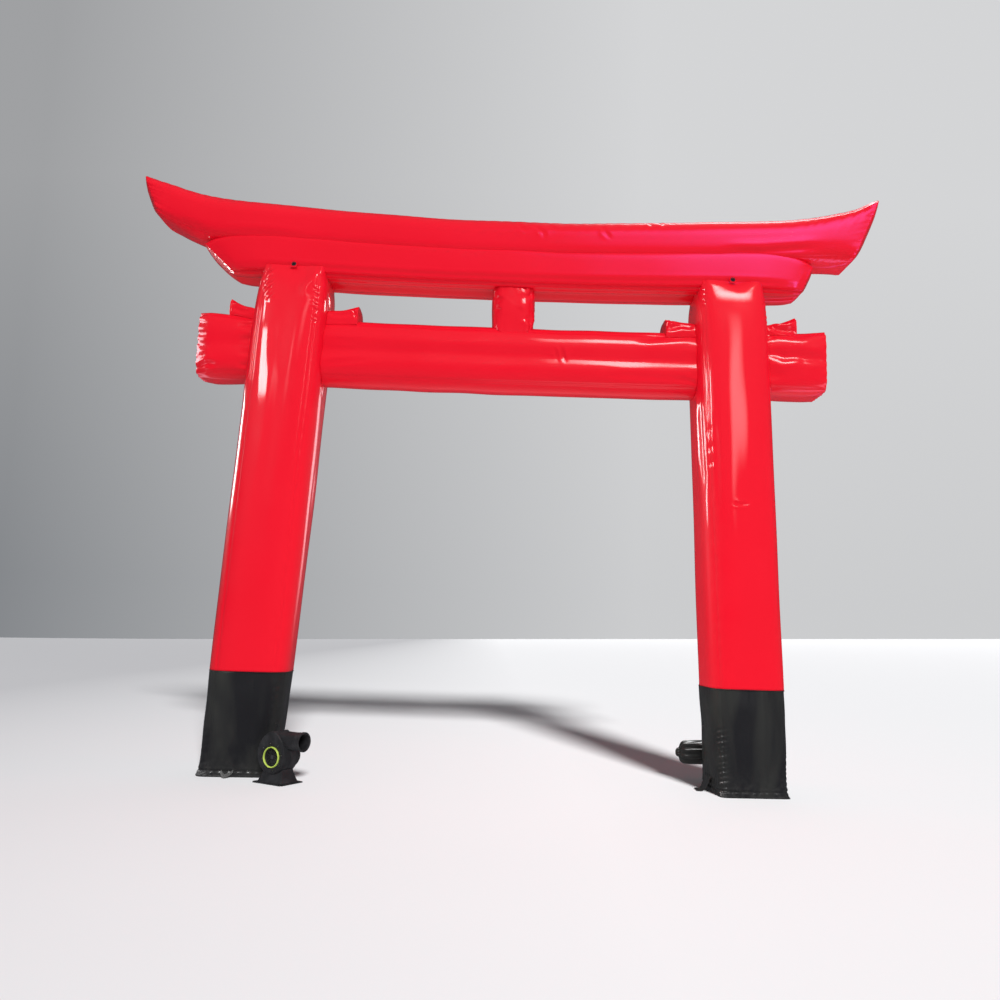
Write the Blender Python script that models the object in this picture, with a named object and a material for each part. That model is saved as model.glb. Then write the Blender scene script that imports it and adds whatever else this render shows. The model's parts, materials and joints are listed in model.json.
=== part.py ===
"""Inflatable gate arch: two leaning pillars on black feet, a tie beam with wedge cushions, a centre
strut, a lower beam, an upcurved top beam, and the blower that fills it.
Metres, +Z up. The front looks towards -Y, and the origin is on the ground under the middle."""

import math
from collections import namedtuple

import bmesh
import bpy
from mathutils import Matrix, Vector

# Driving dimensions
GAP = 0.0003  # between two pieces that touch
SIDES = 24  # points round a large tube; a multiple of 8 puts a point on each of its four seams
BORDER_HEIGHT = 0.632  # where the black foot ends and the red pillar begins
PILLAR_HEIGHT = 3.255
HALF_DEPTH = 0.395  # from the arch's own plane to the sleeve behind it and to the blower before it
STRUT_MIDDLE_X = 0.022

PillarPlace = namedtuple("PillarPlace", "sign x_top x_foot y_foot twist fullness")
PILLARS = {
    "left": PillarPlace(sign=-1, x_top=-1.420, x_foot=-1.610, y_foot=0.095, twist=6, fullness=1.06),
    "right": PillarPlace(sign=1, x_top=1.447, x_foot=1.555, y_foot=-0.040, twist=4, fullness=0.99),
}

# Sections of a pillar with its foot, from the sole up. power 2 is a round section, 10 a square one.
PillarRow = namedtuple("PillarRow", "z half power")
PILLAR_ROWS = [
    PillarRow(z=0.000, half=0.222, power=12.0),
    PillarRow(z=0.045, half=0.216, power=8.0),
    PillarRow(z=0.220, half=0.225, power=5.0),
    PillarRow(z=0.632, half=0.235, power=4.2),
    PillarRow(z=1.300, half=0.241, power=3.6),
    PillarRow(z=2.200, half=0.242, power=3.6),
    PillarRow(z=2.850, half=0.238, power=4.2),
    PillarRow(z=3.090, half=0.228, power=5.0),
    PillarRow(z=3.200, half=0.212, power=6.5),
    PillarRow(z=3.255, half=0.200, power=10.0),
]

# Sections of a beam, from its middle outwards: its highest and lowest points, half its depth and its power
BeamRow = namedtuple("BeamRow", "x_high z_high x_low z_low half power")
TOP_BEAM_MIDDLE = [
    BeamRow(x_high=0.00, z_high=3.665, x_low=0.00, z_low=3.375, half=0.190, power=2.8),
    BeamRow(x_high=0.40, z_high=3.666, x_low=0.40, z_low=3.376, half=0.190, power=2.8),
    BeamRow(x_high=0.80, z_high=3.685, x_low=0.80, z_low=3.385, half=0.190, power=2.8),
    BeamRow(x_high=1.20, z_high=3.704, x_low=1.20, z_low=3.400, half=0.190, power=2.8),
    BeamRow(x_high=1.60, z_high=3.728, x_low=1.58, z_low=3.417, half=0.190, power=2.8),
    BeamRow(x_high=1.90, z_high=3.752, x_low=1.86, z_low=3.428, half=0.188, power=2.9),
]
TOP_BEAM_ENDS = {
    "left": [
        BeamRow(x_high=2.11, z_high=3.785, x_low=2.04, z_low=3.448, half=0.182, power=3.2),
        BeamRow(x_high=2.29, z_high=3.835, x_low=2.18, z_low=3.498, half=0.174, power=3.8),
        BeamRow(x_high=2.40, z_high=3.863, x_low=2.28, z_low=3.558, half=0.166, power=5.0),
        BeamRow(x_high=2.4395, z_high=3.872, x_low=2.34, z_low=3.598, half=0.158, power=8.0),
    ],
    "right": [
        BeamRow(x_high=2.11, z_high=3.785, x_low=1.99, z_low=3.422, half=0.182, power=3.2),
        BeamRow(x_high=2.29, z_high=3.828, x_low=2.11, z_low=3.422, half=0.174, power=3.8),
        BeamRow(x_high=2.39, z_high=3.870, x_low=2.18, z_low=3.426, half=0.166, power=5.0),
        BeamRow(x_high=2.45, z_high=3.885, x_low=2.22, z_low=3.434, half=0.158, power=8.0),
    ],
}
TOP_BEAM_END_BULGE = 0.040

LOWER_BEAM_MIDDLE = [
    BeamRow(x_high=0.00, z_high=3.490, x_low=0.00, z_low=3.176, half=0.188, power=3.4),
    BeamRow(x_high=0.50, z_high=3.492, x_low=0.50, z_low=3.177, half=0.188, power=3.4),
    BeamRow(x_high=1.00, z_high=3.500, x_low=1.00, z_low=3.186, half=0.188, power=3.4),
    BeamRow(x_high=1.50, z_high=3.512, x_low=1.50, z_low=3.196, half=0.186, power=3.4),
]
LOWER_BEAM_ENDS = {
    "left": [
        BeamRow(x_high=1.91, z_high=3.490, x_low=1.74, z_low=3.203, half=0.182, power=3.8),
        BeamRow(x_high=2.11, z_high=3.455, x_low=1.86, z_low=3.215, half=0.172, power=5.0),
    ],
    "right": [
        BeamRow(x_high=1.90, z_high=3.490, x_low=1.78, z_low=3.203, half=0.182, power=3.8),
        BeamRow(x_high=2.08, z_high=3.455, x_low=1.92, z_low=3.215, half=0.172, power=5.0),
    ],
}
LOWER_BEAM_END_BULGE = 0.026
LOWER_BEAM_GROOVE = 0.030  # how high its underside is drawn up along the middle

# The tie beam's sections out from its middle; waist is how deep its front and back creases are
TieRow = namedtuple("TieRow", "x z_low z_high half power waist")
TIE_MIDDLE_ROWS = [
    TieRow(x=0.00, z_low=2.493, z_high=2.927, half=0.152, power=3.0, waist=0.014),
    TieRow(x=0.60, z_low=2.495, z_high=2.929, half=0.152, power=3.0, waist=0.014),
    TieRow(x=0.96, z_low=2.497, z_high=2.932, half=0.148, power=3.0, waist=0.014),
    TieRow(x=1.13, z_low=2.500, z_high=2.936, half=0.130, power=3.0, waist=0.014),
    TieRow(x=1.40, z_low=2.504, z_high=2.930, half=0.106, power=3.2, waist=0.014),
]
TIE_END_ROWS = {
    "left": [
        TieRow(x=1.45, z_low=2.524, z_high=2.915, half=0.120, power=3.4, waist=0.020),
        TieRow(x=1.66, z_low=2.518, z_high=2.922, half=0.148, power=3.2, waist=0.020),
        TieRow(x=1.80, z_low=2.510, z_high=2.935, half=0.170, power=3.2, waist=0.014),
        TieRow(x=1.93, z_low=2.510, z_high=2.945, half=0.176, power=3.6, waist=0.010),
        TieRow(x=2.02, z_low=2.524, z_high=2.946, half=0.170, power=7.0, waist=0.006),
    ],
    "right": [
        TieRow(x=1.45, z_low=2.538, z_high=2.920, half=0.120, power=3.4, waist=0.020),
        TieRow(x=1.68, z_low=2.532, z_high=2.928, half=0.148, power=3.2, waist=0.020),
        TieRow(x=1.82, z_low=2.528, z_high=2.940, half=0.170, power=3.2, waist=0.014),
        TieRow(x=1.96, z_low=2.528, z_high=2.950, half=0.176, power=3.6, waist=0.010),
        TieRow(x=2.05, z_low=2.540, z_high=2.954, half=0.170, power=7.0, waist=0.006),
    ],
}
TIE_END_BULGE = 0.012

# A wedge cushion's outline seen from the front, from the pillar outwards
WedgeRow = namedtuple("WedgeRow", "x z_low z_high")
WEDGES = {
    "wedge_left_outer": (-1, [
        WedgeRow(x=1.50, z_low=2.86, z_high=2.990),
        WedgeRow(x=1.66, z_low=2.86, z_high=3.010),
        WedgeRow(x=1.83, z_low=2.86, z_high=3.050),
    ]),
    "wedge_left_inner": (-1, [
        WedgeRow(x=1.34, z_low=2.84, z_high=2.995),
        WedgeRow(x=1.14, z_low=2.84, z_high=3.003),
        WedgeRow(x=1.00, z_low=2.84, z_high=3.030),
    ]),
    "wedge_right_inner": (1, [
        WedgeRow(x=1.34, z_low=2.84, z_high=2.990),
        WedgeRow(x=1.18, z_low=2.84, z_high=3.000),
        WedgeRow(x=1.04, z_low=2.84, z_high=3.010),
    ]),
    "wedge_right_outer": (1, [
        WedgeRow(x=1.50, z_low=2.86, z_high=3.005),
        WedgeRow(x=1.70, z_low=2.86, z_high=3.020),
        WedgeRow(x=1.89, z_low=2.86, z_high=3.055),
    ]),
}
WEDGE_HALF_DEPTH = 0.118
WEDGE_END_BULGE = 0.010

STRUT_HALF_WIDTH = 0.138
STRUT_HALF_DEPTH = 0.130
StrutRow = namedtuple("StrutRow", "z share power")
STRUT_ROWS = [
    StrutRow(z=2.80, share=0.92, power=7.0),
    StrutRow(z=2.90, share=0.96, power=5.0),
    StrutRow(z=3.02, share=1.03, power=3.4),
    StrutRow(z=3.12, share=1.03, power=3.4),
    StrutRow(z=3.21, share=0.97, power=5.0),
    StrutRow(z=3.28, share=0.92, power=7.0),
]

# Inflation sleeve at the back of the right foot: its centre line and its radius
SleeveRow = namedtuple("SleeveRow", "x y z radius")
SLEEVE_ROWS = [
    SleeveRow(x=1.540, y=0.130, z=0.205, radius=0.076),
    SleeveRow(x=1.528, y=0.215, z=0.202, radius=0.078),
    SleeveRow(x=1.480, y=0.282, z=0.194, radius=0.078),
    SleeveRow(x=1.395, y=0.311, z=0.186, radius=0.080),
    SleeveRow(x=1.310, y=0.311, z=0.182, radius=0.080),
    SleeveRow(x=1.258, y=0.311, z=0.181, radius=0.078),
    SleeveRow(x=1.232, y=0.311, z=0.181, radius=0.062),
    SleeveRow(x=1.220, y=0.311, z=0.181, radius=0.034),
    SleeveRow(x=1.208, y=0.311, z=0.181, radius=0.028),
    SleeveRow(x=1.200, y=0.311, z=0.181, radius=0.018),
]
SLEEVE_PLEATS = 8

# Blower, standing free before the left foot. Its own X is its long side and its inlet looks along its own -Y.
BLOWER_X = -1.290
BLOWER_TURN = math.radians(-30)
BASE_LENGTH, BASE_DEPTH, BASE_THICKNESS = 0.234, 0.196, 0.006
STAND_SECTIONS = [(BASE_THICKNESS + GAP, 0.100, 0.084), (0.050, 0.084, 0.062), (0.100, 0.068, 0.046)]
SCROLL_HEIGHT = 0.152  # of its centre
SCROLL_THICKNESS = 0.130
SCROLL_RADIUS_LOW, SCROLL_RADIUS_HIGH = 0.095, 0.150
DUCT_RADIUS, DUCT_WALL, DUCT_HEIGHT, DUCT_REACH = 0.047, 0.005, 0.249, 0.188
FLANGE_RADIUS, FLANGE_WIDTH = 0.058, 0.012
INLET_RADIUS, INLET_DEPTH, INLET_RING_WIDTH, INLET_RING_THICKNESS = 0.054, 0.025, 0.007, 0.010
GRILLE_THICKNESS, GRILLE_SPOKES = 0.003, 4
MOTOR_RADIUS, MOTOR_LENGTH = 0.074, 0.052
GRILLE_RADII = [0.0, 0.014, 0.026, 0.030, 0.0515, INLET_RADIUS - GAP]

# Eyelet tab at each pillar's top front edge
EYELET_HEIGHT = 3.258
TAB_HALF_WIDTH, TAB_THICKNESS, TAB_STANDOFF = 0.026, 0.003, 0.0009
EYELET_HOLE, EYELET_RADIUS, EYELET_THICKNESS = 0.0095, 0.0165, 0.003

# Webbing loop in front of the left foot, and the flap beside the right one
LOOP_X, LOOP_HALF_SPAN, LOOP_REACH = -1.628, 0.050, 0.058
LOOP_HIGH, LOOP_LOW = 0.058, 0.0135
WEBBING_HALF_WIDTH, WEBBING_THICKNESS = 0.0115, 0.003
FLAP_THICKNESS, FLAP_HALF_LENGTH, FLAP_SHIFT = 0.003, 0.075, 0.010
FLAP_PROFILE = [(-0.02, 0.100), (0.004, 0.086), (0.016, 0.052), (0.03, 0.022), (0.052, 0.006), (0.08, 0.003)]

RED = (0.80, 0.012, 0.022, 1.0)
BLACK = (0.012, 0.012, 0.014, 1.0)
HOUSING_BLACK = (0.018, 0.018, 0.020, 1.0)
LIME = (0.55, 0.72, 0.10, 1.0)
STEEL = (0.55, 0.56, 0.58, 1.0)
WEBBING = (0.42, 0.41, 0.40, 1.0)


def clear_scene():
    for found in list(bpy.data.objects):
        bpy.data.objects.remove(found)


def make_material(name, colour, roughness, metallic=0.0):
    material = bpy.data.materials.new(name)
    material.use_nodes = True
    shader = material.node_tree.nodes["Principled BSDF"]
    shader.inputs["Base Color"].default_value = colour
    shader.inputs["Roughness"].default_value = roughness
    shader.inputs["Metallic"].default_value = metallic
    material.diffuse_color = colour
    return material


def link_mesh(name, shape, colour, roughness=0.3, metallic=0.0, sharp=50.0):
    """Turns a bmesh into a named object with its own material."""
    bmesh.ops.recalc_face_normals(shape, faces=shape.faces[:])
    mesh = bpy.data.meshes.new(name)
    shape.to_mesh(mesh)
    shape.free()
    mesh.shade_smooth()
    mesh.set_sharp_from_angle(angle=math.radians(sharp))
    made = bpy.data.objects.new(name, mesh)
    bpy.context.scene.collection.objects.link(made)
    mesh.materials.append(make_material(name + "_finish", colour, roughness, metallic))
    return made


def as_cutter(made):
    made.hide_render = True
    made.display_type = "WIRE"
    return made


def cut(target, *cutters):
    for cutter in cutters:
        hole = target.modifiers.new("cut_by_" + cutter.name, "BOOLEAN")
        hole.operation = "DIFFERENCE"
        hole.solver = "EXACT"
        hole.object = cutter


def spread(rows, steps):
    """Rows with more rows between them, on a smooth curve through the given ones."""
    made = []
    last = len(rows) - 1
    for i in range(last):
        before, start, end, after = rows[max(i - 1, 0)], rows[i], rows[i + 1], rows[min(i + 2, last)]
        for step in range(steps):
            t = step / steps
            blend = []
            for p0, p1, p2, p3 in zip(before, start, end, after):
                low_slope = (p2 - p0) / 2 if i > 0 else p2 - p1
                high_slope = (p3 - p1) / 2 if i + 1 < last else p2 - p1
                blend.append(
                    (2 * t**3 - 3 * t**2 + 1) * p1
                    + (t**3 - 2 * t**2 + t) * low_slope
                    + (3 * t**2 - 2 * t**3) * p2
                    + (t**3 - t**2) * high_slope
                )
            made.append(type(rows[0])(*blend))
    made.append(rows[-1])
    return made


def section(centre, across, up, half_across, half_up, power, waist=0.0, groove=0.0, sides=SIDES):
    """Points round a section that is round at power 2 and square at a high power. waist draws its two
    sides in at half height, as an inner web does, and groove draws its underside up along the middle."""
    points = []
    for k in range(sides):
        angle = 2 * math.pi * k / sides
        c, s = math.cos(angle), math.sin(angle)
        reach = (abs(c) ** power + abs(s) ** power) ** (-1 / power)
        drawn = waist * math.exp(-((s * reach / 0.22) ** 2))
        side = half_across * c * reach - math.copysign(drawn, c) * min(1.0, abs(c * reach) * 1.2)
        raised = groove * math.exp(-((c * reach / 0.30) ** 2)) if s < 0 else 0.0
        points.append(centre + across * side + up * (half_up * s * reach + raised))
    return points


def loft(rings, first_cap=(), last_cap=()):
    """A closed tube through rings of points. A cap is a list of (share, rise) rings inside the end ring, each
    shrunk to that share and pushed outwards by that rise. Its faces are triangles, so that a tube and the
    slightly larger one that cuts its neighbours bend along the same lines."""
    shape = bmesh.new()
    loops = [[shape.verts.new(p) for p in ring] for ring in rings]
    count = len(rings[0])

    def middle(ring):
        return sum(ring, Vector()) / count

    def close(ring, neighbour, cap):
        centre = middle(ring)
        normal = (ring[1] - ring[0]).cross(ring[count // 4] - ring[0]).normalized()
        if normal.dot(centre - middle(neighbour)) < 0:
            normal = -normal
        return [[centre + (p - centre) * share + normal * rise for p in ring] for share, rise in cap]

    head = [[shape.verts.new(p) for p in ring] for ring in close(rings[0], rings[1], first_cap)]
    tail = [[shape.verts.new(p) for p in ring] for ring in close(rings[-1], rings[-2], last_cap)]
    loops = head[::-1] + loops + tail
    for lower, upper in zip(loops, loops[1:]):
        for k in range(count):
            nxt = (k + 1) % count
            shape.faces.new((lower[k], lower[nxt], upper[nxt]))
            shape.faces.new((lower[k], upper[nxt], upper[k]))
    shape.faces.new(loops[0][::-1])
    shape.faces.new(loops[-1])
    return shape


def box(size, place):
    shape = bmesh.new()
    bmesh.ops.create_cube(shape, size=1.0, matrix=place @ Matrix.Diagonal((*size, 1.0)))
    return shape


def pillar_ring(place, row, grow=0.0):
    share = row.z / PILLAR_HEIGHT
    centre = Vector((
        place.x_foot + (place.x_top - place.x_foot) * share,
        place.y_foot * (1 - share),
        row.z,
    ))
    turn = math.radians(place.twist) * (1 - share) ** 2
    full = 1 + (place.fullness - 1) * (1 - share**3)
    half = row.half * full + grow
    across = Vector((math.cos(turn), math.sin(turn), 0))
    along = Vector((-math.sin(turn), math.cos(turn), 0))
    return section(centre, across, along, half, half, row.power)


def pillar_rows():
    return spread(PILLAR_ROWS, 3)


def make_pillars():
    """Each pillar is two pieces: the black foot below the border and the red tube above it."""
    made = {}
    for side, place in PILLARS.items():
        rows = pillar_rows()
        low = [row for row in rows if row.z < BORDER_HEIGHT - 0.001]
        high = [row for row in rows if row.z > BORDER_HEIGHT + 0.001]
        border = next(row for row in rows if abs(row.z - BORDER_HEIGHT) <= 0.001)
        foot_rows = low + [border._replace(z=BORDER_HEIGHT - GAP / 2)]
        pillar = [border._replace(z=BORDER_HEIGHT + GAP / 2)] + high
        made["foot_" + side] = link_mesh(
            "foot_" + side, loft([pillar_ring(place, row) for row in foot_rows]), BLACK)
        made["pillar_" + side] = link_mesh(
            "pillar_" + side, loft([pillar_ring(place, row) for row in pillar]), RED)
        grown = [pillar_ring(place, row, GAP) for row in rows]
        made["cutter_" + side] = as_cutter(link_mesh("cutter_pillar_" + side, loft(grown), RED))
    return made


def beam_rings(middle, ends, grow=0.0, groove=0.0, steps=2):
    """Rings of a beam from its left end to its right one."""
    rings = []
    for side, sign in (("left", -1), ("right", 1)):
        rows = spread(middle + ends[side], steps)
        half = []
        for row in rows:
            high = Vector((sign * row.x_high, 0, row.z_high + grow))
            low = Vector((sign * row.x_low, 0, row.z_low - grow))
            up = high - low
            half.append(section(
                (high + low) / 2, Vector((0, 1, 0)), up.normalized(), row.half + grow, up.length / 2,
                row.power, groove=groove))
        rings = half[:0:-1] if side == "left" else rings + half
    return rings


def make_beams():
    top_cap = [(0.80, TOP_BEAM_END_BULGE * 0.55), (0.45, TOP_BEAM_END_BULGE)]
    low_cap = [(0.80, LOWER_BEAM_END_BULGE * 0.6), (0.45, LOWER_BEAM_END_BULGE)]
    link_mesh("top_beam", loft(beam_rings(TOP_BEAM_MIDDLE, TOP_BEAM_ENDS), top_cap, top_cap), RED)
    top_cutter = as_cutter(link_mesh(
        "cutter_top_beam", loft(beam_rings(TOP_BEAM_MIDDLE, TOP_BEAM_ENDS, GAP), top_cap, top_cap), RED))
    made = {}
    for grow, name in ((0.0, "lower_beam"), (GAP, "cutter_lower_beam")):
        rings = beam_rings(LOWER_BEAM_MIDDLE, LOWER_BEAM_ENDS, grow, LOWER_BEAM_GROOVE)
        made[name] = link_mesh(name, loft(rings, low_cap, low_cap), RED)
    as_cutter(made["cutter_lower_beam"])
    cut(made["lower_beam"], top_cutter)
    return made["cutter_lower_beam"]


def tie_ring(row, sign, grow=0.0):
    centre = Vector((sign * row.x, 0, (row.z_low + row.z_high) / 2))
    half_up = (row.z_high - row.z_low) / 2 + grow
    across, up = Vector((0, 1, 0)), Vector((0, 0, 1))
    return section(centre, across, up, row.half + grow, half_up, row.power, row.waist)


def make_tie(pillar_cutters):
    """The tie beam between the pillars and its two ends outside them."""
    half = spread(TIE_MIDDLE_ROWS, 2)
    made = {}
    for grow, name in ((0.0, "tie_beam"), (GAP, "cutter_tie_beam")):
        rings = [tie_ring(row, -1, grow) for row in half[:0:-1]] + [tie_ring(row, 1, grow) for row in half]
        made[name] = link_mesh(name, loft(rings), RED)
    as_cutter(made["cutter_tie_beam"])
    cut(made["tie_beam"], *pillar_cutters.values())
    cap = [(0.80, TIE_END_BULGE * 0.7), (0.45, TIE_END_BULGE)]
    for side, place in PILLARS.items():
        for grow, name in ((0.0, "tie_end_" + side), (GAP, "cutter_tie_end_" + side)):
            rings = [tie_ring(row, place.sign, grow) for row in spread(TIE_END_ROWS[side], 2)]
            made[name] = link_mesh(name, loft(rings, (), cap), RED)
        as_cutter(made["cutter_tie_end_" + side])
        cut(made["tie_end_" + side], pillar_cutters[side])
    return made


def make_wedges(pillar_cutters, tie):
    cap = [(0.75, WEDGE_END_BULGE)]
    for name, (sign, rows) in WEDGES.items():
        rings = []
        for row in spread(rows, 2):
            centre = Vector((sign * row.x, 0, (row.z_low + row.z_high) / 2))
            rings.append(section(
                centre, Vector((0, 1, 0)), Vector((0, 0, 1)), WEDGE_HALF_DEPTH,
                (row.z_high - row.z_low) / 2, 3.6, sides=24))
        wedge = link_mesh(name, loft(rings, (), cap), RED)
        side = "left" if sign < 0 else "right"
        under = "cutter_tie_beam" if "inner" in name else "cutter_tie_end_" + side
        cut(wedge, tie[under], pillar_cutters[side])


def make_strut(lower_cutter, tie):
    rings = []
    for row in spread(STRUT_ROWS, 2):
        rings.append(section(
            Vector((STRUT_MIDDLE_X, 0, row.z)), Vector((1, 0, 0)), Vector((0, 1, 0)),
            STRUT_HALF_WIDTH * row.share, STRUT_HALF_DEPTH * row.share, row.power, sides=24))
    cut(link_mesh("centre_strut", loft(rings), RED), lower_cutter, tie["cutter_tie_beam"])


def make_sleeve(foot_cutter):
    rows = spread(SLEEVE_ROWS, 2)
    rings = []
    for i, row in enumerate(rows):
        ahead, behind = rows[min(i + 1, len(rows) - 1)], rows[max(i - 1, 0)]
        run = Vector((ahead.x - behind.x, ahead.y - behind.y, ahead.z - behind.z)).normalized()
        across = run.cross(Vector((0, 0, 1))).normalized()
        up = across.cross(run)
        centre = Vector((row.x, row.y, row.z))
        gather = max(0.0, min(1.0, (1.305 - row.x) / 0.06)) * 0.10
        ring = []
        for k in range(SIDES):
            angle = 2 * math.pi * k / SIDES
            reach = row.radius * (1 + gather * math.cos(SLEEVE_PLEATS * angle))
            ring.append(centre + across * (reach * math.cos(angle)) + up * (reach * math.sin(angle)))
        rings.append(ring)
    cut(link_mesh("inflation_sleeve", loft(rings), BLACK, 0.45), foot_cutter)


def polar_plate(reaches, keep, thickness, place, sectors=24):
    """A flat plate of cells round a centre, lying from its own XY plane up. reaches are the radii between
    its rings of cells, numbers or functions of the angle, and keep(ring, sector) picks the solid cells."""
    shape = bmesh.new()
    corners = {}

    def corner(ring, sector, level):
        angle = 2 * math.pi * (sector % sectors) / sectors
        reach = reaches[ring](angle) if callable(reaches[ring]) else reaches[ring]
        key = (ring, sector % sectors if reach > 0 else 0, level)
        if key not in corners:
            point = Vector((reach * math.cos(angle), reach * math.sin(angle), level * thickness))
            corners[key] = shape.verts.new(place @ point)
        return corners[key]

    def add_face(*keys):
        found = list(dict.fromkeys(corner(*key) for key in keys))
        if len(found) > 2:
            shape.faces.new(found)

    rings = len(reaches) - 1
    for i in range(rings):
        for k in range(sectors):
            if not keep(i, k):
                continue
            add_face((i, k, 1), (i + 1, k, 1), (i + 1, k + 1, 1), (i, k + 1, 1))
            add_face((i, k, 0), (i, k + 1, 0), (i + 1, k + 1, 0), (i + 1, k, 0))
            if i == 0 or not keep(i - 1, k):
                add_face((i, k, 0), (i, k, 1), (i, k + 1, 1), (i, k + 1, 0))
            if i == rings - 1 or not keep(i + 1, k):
                add_face((i + 1, k, 0), (i + 1, k + 1, 0), (i + 1, k + 1, 1), (i + 1, k, 1))
            if not keep(i, (k - 1) % sectors):
                add_face((i, k, 0), (i + 1, k, 0), (i + 1, k, 1), (i, k, 1))
            if not keep(i, (k + 1) % sectors):
                add_face((i, k + 1, 0), (i, k + 1, 1), (i + 1, k + 1, 1), (i + 1, k + 1, 0))
    return shape


def round_rings(stations, axis, origin, sides=SIDES):
    """Circles along an axis, one for each (distance, radius)."""
    across = Vector((0, 0, 1)).cross(axis).normalized()
    up = axis.cross(across)
    rings = []
    for distance, radius in stations:
        ring = []
        for k in range(sides):
            angle = 2 * math.pi * k / sides
            spoke = across * math.cos(angle) + up * math.sin(angle)
            ring.append(origin + axis * distance + spoke * radius)
        rings.append(ring)
    return rings


def scroll_rings(grow=0.0):
    """Outlines of the blower's scroll from front to back. It widens clockwise from its right side."""
    half = SCROLL_THICKNESS / 2 + grow
    rings = []
    for y, inset in ((-half, 0.006), (-half + 0.006, 0.0), (half - 0.006, 0.0), (half, 0.006)):
        ring = []
        for k in range(32):
            angle = 2 * math.pi * k / 32
            swept = (1 - angle / (2 * math.pi)) * 4 / 3 if angle > math.pi / 2 else angle / (math.pi / 2)
            radius = SCROLL_RADIUS_LOW + (SCROLL_RADIUS_HIGH - SCROLL_RADIUS_LOW) * swept**2 + grow - inset
            ring.append(Vector((radius * math.cos(angle), y, SCROLL_HEIGHT + radius * math.sin(angle))))
        rings.append(ring)
    return rings


def make_blower():
    """Base plate, stand, scroll housing with its open outlet duct, inlet ring, grille and motor cover."""
    front = math.cos(BLOWER_TURN) * FLANGE_RADIUS - math.sin(BLOWER_TURN) * DUCT_REACH
    place = Matrix.Translation((BLOWER_X, front - HALF_DEPTH, 0)) @ Matrix.Rotation(BLOWER_TURN, 4, "Z")
    along, back = Vector((1, 0, 0)), Vector((0, 1, 0))
    face = SCROLL_THICKNESS / 2

    def add(name, shape, colour, roughness=0.4, metallic=0.0):
        shape.transform(place)
        return link_mesh(name, shape, colour, roughness, metallic, 35)

    base_size = (BASE_LENGTH, BASE_DEPTH, BASE_THICKNESS)
    base = add("blower_base", box(base_size, Matrix.Translation((0, 0, BASE_THICKNESS / 2))), HOUSING_BLACK)
    rounded = base.modifiers.new("rounded", "BEVEL")
    rounded.width = 0.0015
    rounded.segments = 2

    stand_rings = []
    for z, half_x, half_y in STAND_SECTIONS:
        centre = Vector((0, 0, z))
        stand_rings.append(section(centre, along, back, half_x, half_y, 9.0, sides=16))
    stand = add("blower_stand", loft(stand_rings), HOUSING_BLACK)
    cut(stand, as_cutter(add("cutter_scroll", loft(scroll_rings(GAP)), BLACK)))

    housing = add("blower_housing", loft(scroll_rings()), HOUSING_BLACK)
    neck = DUCT_REACH - FLANGE_WIDTH
    outer = DUCT_RADIUS + DUCT_WALL
    outside = ((0.0, outer), (neck, outer), (neck, FLANGE_RADIUS), (DUCT_REACH, FLANGE_RADIUS))
    duct_start = Vector((0, 0, DUCT_HEIGHT))
    duct = as_cutter(add("cutter_duct", loft(round_rings(outside, along, duct_start)), BLACK))
    join = housing.modifiers.new("duct", "BOOLEAN")
    join.operation = "UNION"
    join.solver = "EXACT"
    join.object = duct
    inside = ((0.015, DUCT_RADIUS), (DUCT_REACH + 0.02, DUCT_RADIUS))
    bore = add("cutter_bore", loft(round_rings(inside, along, duct_start)), BLACK)
    centre = Vector((0, -face, SCROLL_HEIGHT))
    mouth = ((-INLET_DEPTH, INLET_RADIUS), (0.02, INLET_RADIUS))
    inlet = add("cutter_inlet", loft(round_rings(mouth, -back, centre)), BLACK)
    cut(housing, as_cutter(bore), as_cutter(inlet))

    facing = Matrix.Translation(centre) @ Matrix.Rotation(math.pi / 2, 4, "X")
    rim = (INLET_RADIUS, INLET_RADIUS + INLET_RING_WIDTH)
    ring_place = facing @ Matrix.Translation((0, 0, GAP))
    add("blower_ring", polar_plate(rim, lambda i, k: True, INLET_RING_THICKNESS, ring_place), LIME, 0.35)
    spacing = 24 // GRILLE_SPOKES
    grille_place = facing @ Matrix.Translation((0, 0, -GRILLE_THICKNESS - 0.001))
    bars = lambda i, k: i in (0, 2, 4) or k % spacing == 0
    grille = polar_plate(GRILLE_RADII, bars, GRILLE_THICKNESS, grille_place)
    add("blower_grille", grille, HOUSING_BLACK)

    cover = (
        (GAP, MOTOR_RADIUS),
        (MOTOR_LENGTH * 0.6, MOTOR_RADIUS),
        (MOTOR_LENGTH * 0.85, MOTOR_RADIUS * 0.9),
        (MOTOR_LENGTH, MOTOR_RADIUS * 0.7),
    )
    add("blower_motor_cover", loft(round_rings(cover, back, Vector((0, face, SCROLL_HEIGHT)))), HOUSING_BLACK)


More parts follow.
